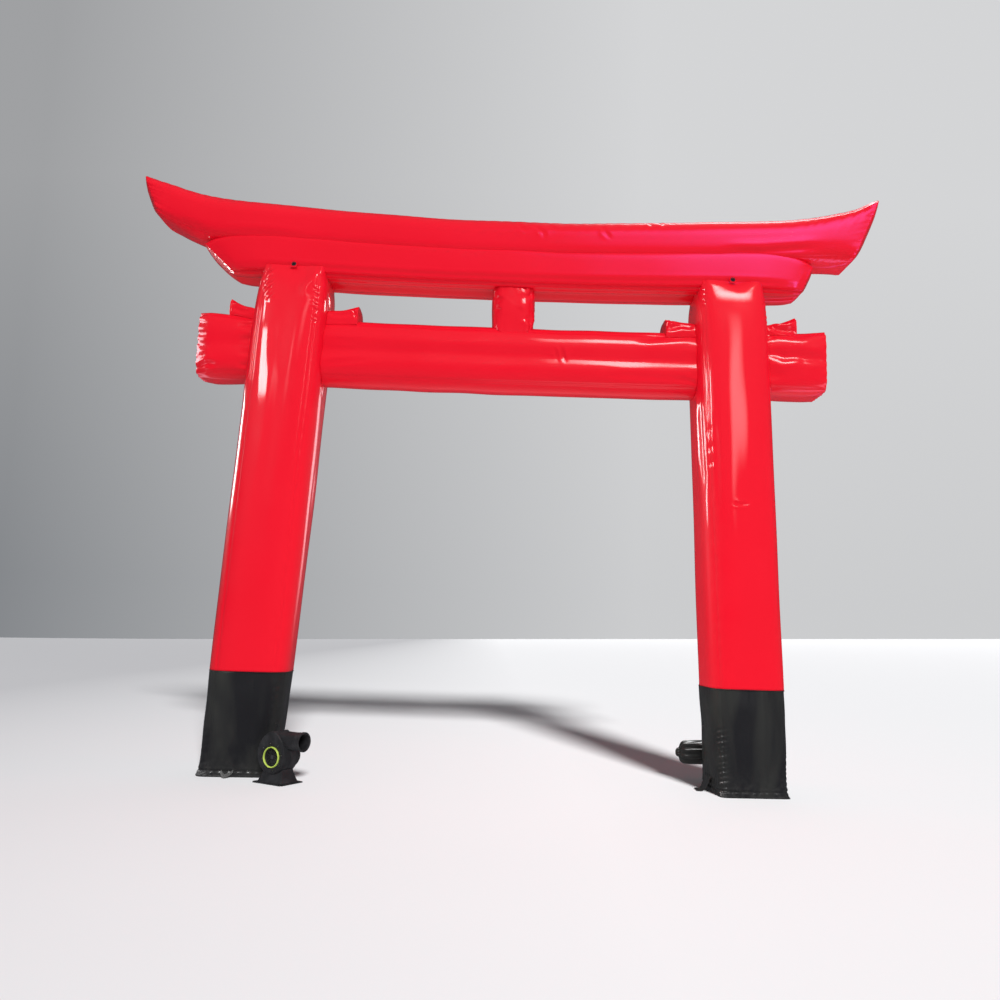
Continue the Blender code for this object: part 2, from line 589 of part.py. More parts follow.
def make_eyelets():
    """A tab with an eyelet rises from the top front edge of each pillar."""
    def outline(angle):
        c, s = abs(math.cos(angle)), math.sin(angle)
        return TAB_HALF_WIDTH if s >= 0 else min(TAB_HALF_WIDTH / max(c, 0.01), 0.050 / max(-s, 0.01))

    for side, place in PILLARS.items():
        rows = spread(PILLAR_ROWS, 3)
        top, below = pillar_ring(place, rows[-1]), pillar_ring(place, rows[-4])
        front = SIDES * 3 // 4
        up = (top[front] - below[front]).normalized()
        out = Vector((1, 0, 0)).cross(up).normalized()
        centre = top[front] + up * (EYELET_HEIGHT - PILLAR_HEIGHT) + out * TAB_STANDOFF
        facing = Matrix((Vector((1, 0, 0)), up, out)).transposed().to_4x4()
        facing.translation = centre
        tab = polar_plate((EYELET_HOLE + GAP, outline), lambda i, k: True, TAB_THICKNESS, facing)
        link_mesh("eyelet_tab_" + side, tab, RED)
        facing.translation = centre + out * (TAB_THICKNESS + GAP)
        ring = polar_plate((EYELET_HOLE, EYELET_RADIUS), lambda i, k: True, EYELET_THICKNESS, facing)
        link_mesh("eyelet_" + side, ring, STEEL, 0.3, 1.0, 35)


def strip(rows, thickness):
    """A band through rows of (centre, half its width as a vector)."""
    rings = []
    for i, (centre, across) in enumerate(rows):
        run = rows[min(i + 1, len(rows) - 1)][0] - rows[max(i - 1, 0)][0]
        normal = run.cross(across).normalized() * (thickness / 2)
        rings.append([centre + across + normal, centre + across - normal,
                      centre - across - normal, centre - across + normal])
    return loft(rings)


def make_anchors(pillar_cutters):
    """A webbing loop on the front of the left foot and a flap on the inner side of the right one."""
    place = PILLARS["left"]
    face = place.y_foot - PILLAR_ROWS[1].half * place.fullness
    rows = []
    for k in range(17):
        angle = math.pi * k / 16
        inward = 0.03 if k in (0, 16) else 0.0
        drop = math.sin(angle)
        centre = Vector((
            LOOP_X - LOOP_HALF_SPAN * math.cos(angle),
            face - LOOP_REACH * drop + inward,
            LOOP_HIGH + (LOOP_LOW - LOOP_HIGH) * drop,
        ))
        rows.append((centre, Vector((0, 0, WEBBING_HALF_WIDTH))))
    cut(link_mesh("anchor_loop_left", strip(rows, WEBBING_THICKNESS), WEBBING, 0.8), pillar_cutters["left"])

    place = PILLARS["right"]
    side = place.x_foot - PILLAR_ROWS[0].half * place.fullness
    rows = []
    for out, height in FLAP_PROFILE:
        centre = Vector((side - out, place.y_foot + FLAP_SHIFT, height))
        rows.append((centre, Vector((0, FLAP_HALF_LENGTH, 0))))
    cut(link_mesh("anchor_flap_right", strip(rows, FLAP_THICKNESS), BLACK, 0.5), pillar_cutters["right"])


def main():
    clear_scene()
    parts = make_pillars()
    pillar_cutters = {side: parts["cutter_" + side] for side in PILLARS}
    lower_cutter = make_beams()
    for side in PILLARS:
        cut(parts["pillar_" + side], lower_cutter)
    tie = make_tie(pillar_cutters)
    make_wedges(pillar_cutters, tie)
    make_strut(lower_cutter, tie)
    make_sleeve(pillar_cutters["right"])
    make_eyelets()
    make_anchors(pillar_cutters)
    make_blower()


main()
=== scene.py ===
import json
import math

import bmesh
import bpy
import numpy as np
from mathutils import Matrix, Vector
from mathutils.bvhtree import BVHTree

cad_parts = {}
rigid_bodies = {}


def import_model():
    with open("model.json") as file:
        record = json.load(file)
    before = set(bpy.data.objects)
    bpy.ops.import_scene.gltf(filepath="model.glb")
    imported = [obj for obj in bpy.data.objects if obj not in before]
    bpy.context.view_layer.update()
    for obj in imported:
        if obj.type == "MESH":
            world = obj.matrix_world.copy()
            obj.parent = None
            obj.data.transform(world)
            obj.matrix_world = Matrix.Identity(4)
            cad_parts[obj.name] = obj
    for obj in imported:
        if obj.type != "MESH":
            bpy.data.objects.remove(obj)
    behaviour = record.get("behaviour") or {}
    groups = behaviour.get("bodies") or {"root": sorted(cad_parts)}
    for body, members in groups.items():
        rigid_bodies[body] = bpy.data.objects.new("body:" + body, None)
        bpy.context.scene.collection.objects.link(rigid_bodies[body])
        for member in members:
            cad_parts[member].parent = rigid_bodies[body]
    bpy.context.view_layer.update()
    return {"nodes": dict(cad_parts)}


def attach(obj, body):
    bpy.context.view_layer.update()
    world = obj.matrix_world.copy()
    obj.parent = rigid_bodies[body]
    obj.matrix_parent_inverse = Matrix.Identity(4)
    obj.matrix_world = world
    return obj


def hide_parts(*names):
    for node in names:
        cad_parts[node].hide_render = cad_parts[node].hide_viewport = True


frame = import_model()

gap = 0.0003  # kept between two skins that are welded together
print("frame loaded:", len(frame["nodes"]), "nodes")


def addObject(name, data):
    made = bpy.data.objects.new(name, data)
    bpy.context.scene.collection.objects.link(made)
    return made


# camera, about a metre above the floor and a little tilted; angles in degrees
cameraLook = {
    "lens": 32.094,
    "sensor": 36,
    "place": (-0.0428, -5.7557, 0.9704),
    "yaw": 0.201,
    "pitch": 8.0022,
    "roll": 1.9867,
}


def addCamera():
    yaw, pitch, roll = (math.radians(cameraLook[key]) for key in ("yaw", "pitch", "roll"))
    ahead = Vector((math.sin(yaw) * math.cos(pitch), math.cos(yaw) * math.cos(pitch), math.sin(pitch)))
    side = Vector((math.cos(yaw), -math.sin(yaw), 0))
    over = side.cross(ahead)
    across = side * math.cos(roll) + over * math.sin(roll)
    up = over * math.cos(roll) - side * math.sin(roll)
    turn = Matrix((across, up, -ahead)).transposed().to_4x4()
    turn.translation = cameraLook["place"]
    data = bpy.data.cameras.new("viewer")
    data.lens = cameraLook["lens"]
    data.sensor_width = cameraLook["sensor"]
    made = addObject("viewer", data)
    made.matrix_world = turn
    bpy.context.scene.camera = made


addCamera()
print("camera placed")


# materials
def newMaterial(name, colour, roughness, metallic=0.0, coat=0.0, coatRoughness=0.1, sheen=0.0):
    made = bpy.data.materials.new(name)
    made.use_nodes = True
    shader = made.node_tree.nodes["Principled BSDF"]
    shader.inputs["Base Color"].default_value = (*colour, 1)
    shader.inputs["Roughness"].default_value = roughness
    shader.inputs["Metallic"].default_value = metallic
    shader.inputs["Coat Weight"].default_value = coat
    shader.inputs["Coat Roughness"].default_value = coatRoughness
    shader.inputs["Sheen Weight"].default_value = sheen
    made.diffuse_color = (*colour, 1)
    return made, shader


def addNode(made, kind, values=None, **settings):
    node = made.node_tree.nodes.new(kind)
    for key, value in settings.items():
        setattr(node, key, value)
    for key, value in (values or {}).items():
        node.inputs[key].default_value = value
    return node


def join(made, output, target):
    made.node_tree.links.new(output, target)


def times(made, first, second):
    product = addNode(made, "ShaderNodeMath", operation="MULTIPLY")
    join(made, first, product.inputs[0])
    join(made, second, product.inputs[1])
    return product.outputs["Value"]


def placeParts(made):
    # x, y and z of a point on its own piece
    place = addNode(made, "ShaderNodeTexCoord")
    split = addNode(made, "ShaderNodeSeparateXYZ")
    join(made, place.outputs["Object"], split.inputs["Vector"])
    return split.outputs


def noiseAt(made, scale, detail=3.0, distortion=0.0, stretch=(1, 1, 1)):
    place = addNode(made, "ShaderNodeTexCoord")
    mapping = addNode(made, "ShaderNodeMapping", {"Scale": stretch})
    noise = addNode(made, "ShaderNodeTexNoise", {"Scale": scale, "Detail": detail, "Distortion": distortion})
    join(made, place.outputs["Object"], mapping.inputs["Vector"])
    join(made, mapping.outputs["Vector"], noise.inputs["Vector"])
    return noise.outputs["Fac"]


def mixColours(made, factor, first, second):
    # each colour is a tuple or another mix
    mix = addNode(made, "ShaderNodeMix", data_type="RGBA")
    join(made, factor, mix.inputs[0])
    for slot, colour in ((6, first), (7, second)):
        if isinstance(colour, tuple):
            mix.inputs[slot].default_value = (*colour, 1)
        else:
            join(made, colour, mix.inputs[slot])
    return mix.outputs[2]


def remap(made, value, low, high, fromLow=0.3, fromHigh=0.7):
    node = addNode(made, "ShaderNodeMapRange", {
        "From Min": fromLow, "From Max": fromHigh, "To Min": low, "To Max": high})
    join(made, value, node.inputs["Value"])
    return node.outputs["Result"]


bandSpan = 0.314  # a wave texture's bands repeat after this length at scale 1


def weaveHeight(made, pitch):
    # threads both ways, on the skin's own flattened metres
    place = addNode(made, "ShaderNodeUVMap", uv_map="skin")
    waves = []
    for direction in ("X", "Y"):
        wave = addNode(made, "ShaderNodeTexWave", {"Scale": bandSpan / pitch, "Distortion": 0.0},
                       wave_type="BANDS", bands_direction=direction)
        join(made, place.outputs["UV"], wave.inputs["Vector"])
        waves.append(wave.outputs["Fac"])
    return times(made, *waves)


def stackBumps(made, shader, layers):
    # layers: (height, strength, distance), the broad ones first
    normal = None
    for height, strength, distance in layers:
        bump = addNode(made, "ShaderNodeBump", {"Strength": strength, "Distance": distance})
        join(made, height, bump.inputs["Height"])
        if normal is not None:
            join(made, normal, bump.inputs["Normal"])
        normal = bump.outputs["Normal"]
    join(made, normal, shader.inputs["Normal"])


vinylLook = {
    "red": (0.84, 0.003, 0.02),
    "redDeep": (0.78, 0.002, 0.015),
    "black": (0.012, 0.012, 0.014),
    "blackFaded": (0.036, 0.037, 0.033),
    "blackDusty": (0.036, 0.035, 0.034),
    "dustHeight": 0.16,
    "threadPitch": 0.0016,
}


def redVinyl():
    made, shader = newMaterial("redVinyl", vinylLook["red"], 0.45, coat=0.9, coatRoughness=0.05)
    shader.inputs["Specular IOR Level"].default_value = 0.15
    patches = noiseAt(made, 1.4, detail=2.0)
    join(made, mixColours(made, patches, vinylLook["redDeep"], vinylLook["red"]), shader.inputs["Base Color"])
    join(made, remap(made, noiseAt(made, 5.0, detail=4.0), 0.38, 0.55), shader.inputs["Roughness"])
    slackSkin = noiseAt(made, 2.4, detail=1.0, distortion=0.3, stretch=(1, 1, 0.5))
    stackBumps(made, shader, [
        (slackSkin, 0.18, 0.01),
        (weaveHeight(made, vinylLook["threadPitch"]), 0.1, 0.00012),
    ])
    return made


def blackVinyl():
    made, shader = newMaterial("blackVinyl", vinylLook["black"], 0.34, coat=0.35, coatRoughness=0.14)
    # dust gathers near the ground
    low = remap(made, placeParts(made)["Z"], 1.0, 0.0, 0.0, vinylLook["dustHeight"])
    specks = remap(made, noiseAt(made, 38.0, detail=6.0), 0.0, 0.9, 0.42, 0.72)
    dust = times(made, low, specks)
    worn = noiseAt(made, 2.6, detail=3.0, distortion=0.8, stretch=(1, 1, 0.45))
    faded = remap(made, worn, 0.0, 1.0, 0.42, 0.68)
    cloth = mixColours(made, faded, vinylLook["black"], vinylLook["blackFaded"])
    join(made, mixColours(made, dust, cloth, vinylLook["blackDusty"]), shader.inputs["Base Color"])
    join(made, remap(made, noiseAt(made, 6.0, detail=4.0), 0.26, 0.46), shader.inputs["Roughness"])
    stackBumps(made, shader, [
        (noiseAt(made, 3.5, detail=2.0, distortion=0.5), 0.45, 0.012),
        (noiseAt(made, 24.0, detail=3.0, distortion=0.6, stretch=(1, 1, 0.4)), 0.18, 0.003),
        (weaveHeight(made, vinylLook["threadPitch"]), 0.12, 0.00012),
    ])
    return made


webbingLook = {
    "grey": (0.18, 0.18, 0.17),
    "greyDark": (0.07, 0.07, 0.07),
    "greyLight": (0.28, 0.28, 0.27),
    "threadPitch": 0.0018,
}


def webbing():
    made, shader = newMaterial("greyWebbing", webbingLook["grey"], 0.75, sheen=0.2)
    threads = weaveHeight(made, webbingLook["threadPitch"])
    join(made, mixColours(made, threads, webbingLook["greyDark"], webbingLook["greyLight"]),
         shader.inputs["Base Color"])
    stackBumps(made, shader, [(threads, 0.7, 0.0006)])
    return made


# cast plastic: colour and roughness
plasticLook = {
    "blowerHousing": ((0.02, 0.02, 0.022), 0.42),
    "motorCover": ((0.028, 0.028, 0.03), 0.55),
    "limeRing": ((0.42, 0.56, 0.09), 0.4),
}


def castPlastic(name):
    colour, roughness = plasticLook[name]
    made, shader = newMaterial(name, colour, roughness)
    worn = remap(made, noiseAt(made, 14.0, detail=5.0), 0.0, 1.0, 0.45, 0.75)
    lighter = tuple(min(1.0, part * 1.9 + 0.006) for part in colour)
    join(made, mixColours(made, worn, colour, lighter), shader.inputs["Base Color"])
    join(made, remap(made, noiseAt(made, 30.0, detail=4.0), roughness - 0.08, roughness + 0.12),
         shader.inputs["Roughness"])
    stackBumps(made, shader, [(noiseAt(made, 420.0, detail=2.0), 0.25, 0.0004)])
    return made


steelLook = {
    "grey": (0.62, 0.62, 0.64),
    "greyDark": (0.5, 0.5, 0.52),
    "greyLight": (0.7, 0.7, 0.72),
}


def brushedSteel():
    made, shader = newMaterial("eyeletSteel", steelLook["grey"], 0.3, metallic=1.0)
    grain = noiseAt(made, 300.0, stretch=(1, 1, 12))
    join(made, remap(made, grain, 0.22, 0.42), shader.inputs["Roughness"])
    join(made, mixColours(made, grain, steelLook["greyDark"], steelLook["greyLight"]),
         shader.inputs["Base Color"])
    return made


finishes = {
    "red": redVinyl(),
    "black": blackVinyl(),
    "webbing": webbing(),
    "housing": castPlastic("blowerHousing"),
    "cover": castPlastic("motorCover"),
    "lime": castPlastic("limeRing"),
    "steel": brushedSteel(),
}
print("materials made:", len(finishes))


# shared shaping
def denseRows(rows, steps=24):
    # rows on a smooth curve through the given ones
    rows = np.asarray(rows, float)
    made = []
    last = len(rows) - 1
    for i in range(last):
        before, start, end, after = rows[max(i - 1, 0)], rows[i], rows[i + 1], rows[min(i + 2, last)]
        startSlope = (end - before) / 2 if i > 0 else end - start
        endSlope = (after - start) / 2 if i + 1 < last else end - start
        for t in np.arange(steps) / steps:
            made.append((2 * t**3 - 3 * t**2 + 1) * start + (t**3 - 2 * t**2 + t) * startSlope
                        + (3 * t**2 - 2 * t**3) * end + (t**3 - t**2) * endSlope)
    made.append(rows[-1])
    return np.array(made)


def stations(*zones):
    # places along a length, from (start, end, step) zones that follow on from each other
    made = []
    for start, end, step in zones:
        count = max(1, round((end - start) / step))
        made.extend(start + (end - start) * i / count for i in range(count))
    made.append(zones[-1][1])
    return np.array(made)


def seamAngles(count, crowd=0.5):
    # angles round a tube, crowded at its four corner seams
    even = 2 * np.pi * np.arange(count) / count
    return even + crowd / 4 * np.sin(4 * even)


def squareRound(angles, power):
    # unit points round a section: power 2 is round, a high power is square
    c, s = np.cos(angles), np.sin(angles)
    reach = (np.abs(c) ** power + np.abs(s) ** power) ** (-1 / power)
    return c * reach, s * reach


def squareRoundTwo(angles, above, below):
    # as squareRound, with one squareness above the middle and another below
    return squareRound(angles, np.where(np.sin(angles) >= 0, above, below))


def awayFrom(angles, degrees):
    # signed angle from a seam
    return (angles - math.radians(degrees) + np.pi) % (2 * np.pi) - np.pi


def window(value, low, high, soft):
    up = np.clip((value - low) / soft + 0.5, 0, 1)
    down = np.clip((high - value) / soft + 0.5, 0, 1)
    both = np.minimum(up, down)
    return both * both * (3 - 2 * both)


def swell(a, b, size, seed):
    # slow unevenness, about -1 to 1
    pick = np.random.default_rng(seed)
    total = np.zeros(np.broadcast(a, b).shape)
    for _ in range(6):
        way = pick.uniform(0, 2 * np.pi)
        rate = 2 * np.pi / size * pick.uniform(0.6, 1.7)
        total += np.sin((a * math.cos(way) + b * math.sin(way)) * rate + pick.uniform(0, 6.28))
    return total / 3


def gathers(along, pitch, seed, sharp=2.0):
    # 0 to 1, with a narrow peak at each gather, not quite evenly spaced
    wobble = 0.9 * np.sin(along * 2 * np.pi / (pitch * 4.3) + seed) + 0.6 * np.sin(
        along * 2 * np.pi / (pitch * 2.7) + 2.1 * seed)
    return (0.5 + 0.5 * np.cos(2 * np.pi * along / pitch + wobble)) ** sharp


def foldLine(distance, width, depth):
    # a crease with a soft roll on both sides of it
    roll = np.exp(-((np.abs(distance) / width - 2.2) / 1.1) ** 2)
    return -depth * np.exp(-(distance / width) ** 2) + 0.45 * depth * roll


def puckers(distance, around, shape, seed, middle=0.4):
    # gathers that die away with the distance from an edge; shape is (fade, depth, pitch)
    fade, depth, pitch = shape
    return depth * np.exp(-distance / fade) * (middle - gathers(around, pitch, seed))


def route(a, b, line):
    # signed distance from a route of straight pieces, and the share of its length passed there
    line = np.asarray(line, float)
    steps = np.hypot(*np.diff(line, axis=0).T)
    best, side, share = np.full(np.shape(a), 1e9), np.zeros(np.shape(a)), np.zeros(np.shape(a))
    before = 0.0
    for (a0, b0), (a1, b1), step in zip(line[:-1], line[1:], steps):
        along = ((a - a0) * (a1 - a0) + (b - b0) * (b1 - b0)) / step**2
        held = np.clip(along, 0, 1)
        away = np.hypot(a - a0 - held * (a1 - a0), b - b0 - held * (b1 - b0))
        left = np.sign((a1 - a0) * (b - b0) - (b1 - b0) * (a - a0))
        near = away < best
        best, side = np.where(near, away, best), np.where(near, left, side)
        share = np.where(near, (before + held * step) / steps.sum(), share)
        before += step
    return best * side, share


def folds(a, b, marks):
    # creases (depth above 0) and ridges (below 0) along routes: (route, width, depth, fade at its ends)
    total = 0.0
    for line, width, depth, fade in marks:
        away, share = route(a, b, line)
        ends = np.clip(np.minimum(share, 1 - share) / max(fade, 1e-3), 0, 1)
        total = total + foldLine(away, width, depth) * ends * ends * (3 - 2 * ends)
    return total


def ladder(a, b, line, pitch, depth, reach, slant, seed):
    # short gathers across a route, like the puckers beside a tight seam
    away, share = route(a, b, line)
    length = np.hypot(*np.diff(np.asarray(line, float), axis=0).T).sum()
    place = share * length + slant * away
    bars = gathers(place, pitch, seed, 1.6)
    size = 0.75 + 0.25 * np.sin(place * 61 + seed * 3)
    return depth * size * np.exp(-(away / reach) ** 2) * window(share, 0.02, 0.98, 0.12) * (0.5 - bars)


def inMetres(marks, unit):
    # marks with the first part of their routes in metres; unit is the length of one degree or share
    return [([(first * unit, height) for first, height in line], *rest) for line, *rest in marks]


def seamLines(angles, radian, depth):
    # a narrow groove at each corner seam; radian is its length on the skin
    relief = 0
    for seam in (45, 135, 225, 315):
        relief = relief - depth * np.exp(-(awayFrom(angles, seam) * radian / 0.007) ** 2)
    return relief


def baseRelief(look, angles, a, b, size, seed):
    # slow unevenness and the corner seams
    return look["unevenness"] * swell(a, b, size, seed) + seamLines(angles, look["radian"], look["seamDepth"])


def gridNormals(points):
    around = np.roll(points, -1, 1) - np.roll(points, 1, 1)
    along = np.gradient(points, axis=0)
    normal = np.cross(around, along)
    normal /= np.maximum(np.linalg.norm(normal, axis=2, keepdims=True), 1e-9)
    middle = points.mean(1, keepdims=True)
    inward = np.sum((points - middle) * normal, axis=(1, 2), keepdims=True) < 0
    return np.where(inward, -normal, normal)


def puffed(points, relief):
    return points + gridNormals(points) * relief[..., None]


def unit(vectors):
    return vectors / np.linalg.norm(vectors, axis=-1, keepdims=True)


def dome(ring, inside, shares, rise):
    # rings that close an end: shrunk to each share and pushed out from the ring inside
    middle = ring.mean(0)
    spokes = ring - middle
    flat = unit(np.cross(spokes[0], spokes[len(ring) // 4]))
    if flat @ (middle - inside.mean(0)) < 0:
        flat = -flat
    return [middle + spokes * share + flat * rise * (1 - share**2.4) for share in shares]


# what each ring of a cap keeps of its edge: for an end that bulges, and for one against another skin
bulgeShares = (0.985, 0.95, 0.88, 0.76, 0.6, 0.42, 0.24, 0.1)
flatShares = (0.9, 0.6, 0.3, 0.1)
lidShares = (0.9, 0.5, 0.2)


def domes(points, shares, rise, inside=8):
    # both ends of a tube; inside is the ring that an end is pushed away from
    return dome(points[0], points[inside], shares, rise), dome(points[-1], points[-1 - inside], shares, rise)


def shrunk(ring, shares):
    # a flat cap
    middle = ring.mean(0)
    return [middle + (ring - middle) * share for share in shares]


def gridQuads(rings, sides, closed=False):
    # ring and side that each quad starts from, and its four corners
    i, k = (part.reshape(-1) for part in np.meshgrid(
        np.arange(rings if closed else rings - 1), np.arange(sides), indexing="ij"))
    here, there, beside = i * sides, (i + 1) % rings * sides, (k + 1) % sides
    return i, k, np.stack([here + k, here + beside, there + beside, there + k], -1).tolist()


def treeOf(points):
    return BVHTree.FromPolygons(points.reshape(-1, 3).tolist(), gridQuads(*points.shape[:2])[2])


def cast(tree, start, direction):
    # where a ray from start meets a skin, or None
    return tree.ray_cast(Vector(start), Vector(direction))[0]


def heightsAt(tree, spots, start, way, miss=None):
    # a gap before the height at which each spot, looked for up or down from start, meets a skin
    met = [cast(tree, (x, y, start), (0, 0, way)) for x, y, _ in spots]
    return np.array([spot.z - way * gap if spot else miss for spot in met])


def holdOff(points, tree, axis, origin, way):
    # points that would pass into a skin, looked for along an axis from origin, stop a gap before it
    direction = [0, 0, 0]
    direction[axis] = way
    for point in points.reshape(-1, 3):
        start = point.copy()
        start[axis] = origin
        met = cast(tree, start, direction)
        if met and point[axis] * way > (met[axis] - way * gap) * way:
            point[axis] = met[axis] - way * gap


def skin(name, points, finish, head=(), tail=()):
    # a closed smooth mesh through a grid of points, with caps, and with a flat map in metres
    shape = (-1, *points.shape[1:])
    grid = np.concatenate([np.array(rows).reshape(shape) for rows in (head[::-1], points, tail)])
    rings, sides = grid.shape[:2]
    i, k, quads = gridQuads(rings, sides)
    mesh = bpy.data.meshes.new(name)
    caps = [list(range(sides))[::-1], list(range((rings - 1) * sides, rings * sides))]
    mesh.from_pydata(grid.reshape(-1, 3).tolist(), [], quads + caps)
    steps = np.linalg.norm(np.roll(grid, -1, 1) - grid, axis=2)
    around = np.concatenate([np.zeros((rings, 1)), np.cumsum(steps, 1)], 1)
    strides = np.linalg.norm(np.diff(grid, axis=0), axis=2).mean(1)
    along = np.concatenate([[0], np.cumsum(strides)])
    flat = mesh.uv_layers.new(name="skin")
    u = np.stack([around[i, k], around[i, k + 1], around[i + 1, k + 1], around[i + 1, k]], -1)
    v = np.stack([along[i], along[i], along[i + 1], along[i + 1]], -1)
    values = np.zeros((len(mesh.loops), 2))
    values[:u.size] = np.stack([u.reshape(-1), v.reshape(-1)], -1)
    values[u.size:] = grid[[0, -1]].reshape(-1, 3)[:, :2]
    flat.data.foreach_set("uv", values.reshape(-1))
    return finished(name, mesh, finish)


def finished(name, mesh, finish, sharp=None):
    # outward faces, smooth shading that breaks at edges past an angle in degrees, and one finish
    shape = bmesh.new()
    shape.from_mesh(mesh)
    bmesh.ops.recalc_face_normals(shape, faces=shape.faces[:])
    shape.to_mesh(mesh)
    shape.free()
    mesh.shade_smooth()
    if sharp is not None:
        mesh.set_sharp_from_angle(angle=math.radians(sharp))
    mesh.materials.clear()
    mesh.materials.append(finishes[finish])
    return addObject(name, mesh)


def handOver(piece, slot, *nodes):
    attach(piece, "root")
    if nodes:
        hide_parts(*nodes)


def softPiece(name, node, points, finish, fill, head, tail):
    piece = skin(name, points, finish, head, tail)
    handOver(piece, "pvc_" + finish, node)


# pillars and their feet
pillarLook = {
    "height": 3.255,
    "border": 0.632,
    "left": {"sign": -1, "xTop": -1.42, "xFoot": -1.61, "yFoot": 0.095, "twist": 6, "fullness": 1.06,
             "rounder": 0.3},
    "right": {"sign": 1, "xTop": 1.447, "xFoot": 1.555, "yFoot": -0.04, "twist": 4, "fullness": 0.99,
              "rounder": 0.0},
    # height, half its width, squareness
    "rows": [
        (0.0, 0.222, 12.0),
        (0.045, 0.216, 8.0),
        (0.22, 0.225, 5.0),
        (0.632, 0.235, 4.2),
        (1.3, 0.241, 3.6),
        (2.2, 0.242, 3.6),
        (2.85, 0.238, 4.2),
        (3.09, 0.228, 5.0),
        (3.2, 0.212, 6.5),
        (3.255, 0.2, 10.0),
    ],
    "sides": 192,
    "degree": 0.0046,  # one degree round the skin, in metres
    "seamDepth": 0.0035,
    "seamWidth": 0.008,
    "unevenness": 0.0016,
    "borderPuckers": (0.022, 0.003, 0.037),
    "flapBend": 0.016,
    "stretchFrom": 2.78,  # above this the skin stretches or shrinks to end at the beam
    # start, end and spacing of the rings
    "zones": [(0.632, 1.55, 0.014), (1.55, 2.78, 0.0075), (2.78, 3.255, 0.005)],
}
pillarRows = denseRows(pillarLook["rows"])


def pillarPoints(side, z, angles):
    look = pillarLook[side]
    share = z / pillarLook["height"]
    half = np.interp(z, pillarRows[:, 0], pillarRows[:, 1]) * (1 + (look["fullness"] - 1) * (1 - share**3))
    power = np.interp(z, pillarRows[:, 0], pillarRows[:, 2]) * (1 - look["rounder"] * (1 - share))
    turn = math.radians(look["twist"]) * (1 - share) ** 2
    across, along = squareRound(angles, power)
    middle = look["xFoot"] + (look["xTop"] - look["xFoot"]) * share
    x = middle + half * (across * np.cos(turn) - along * np.sin(turn))
    y = look["yFoot"] * (1 - share) + half * (across * np.sin(turn) + along * np.cos(turn))
    return np.stack([x, y, z + 0 * x], -1)


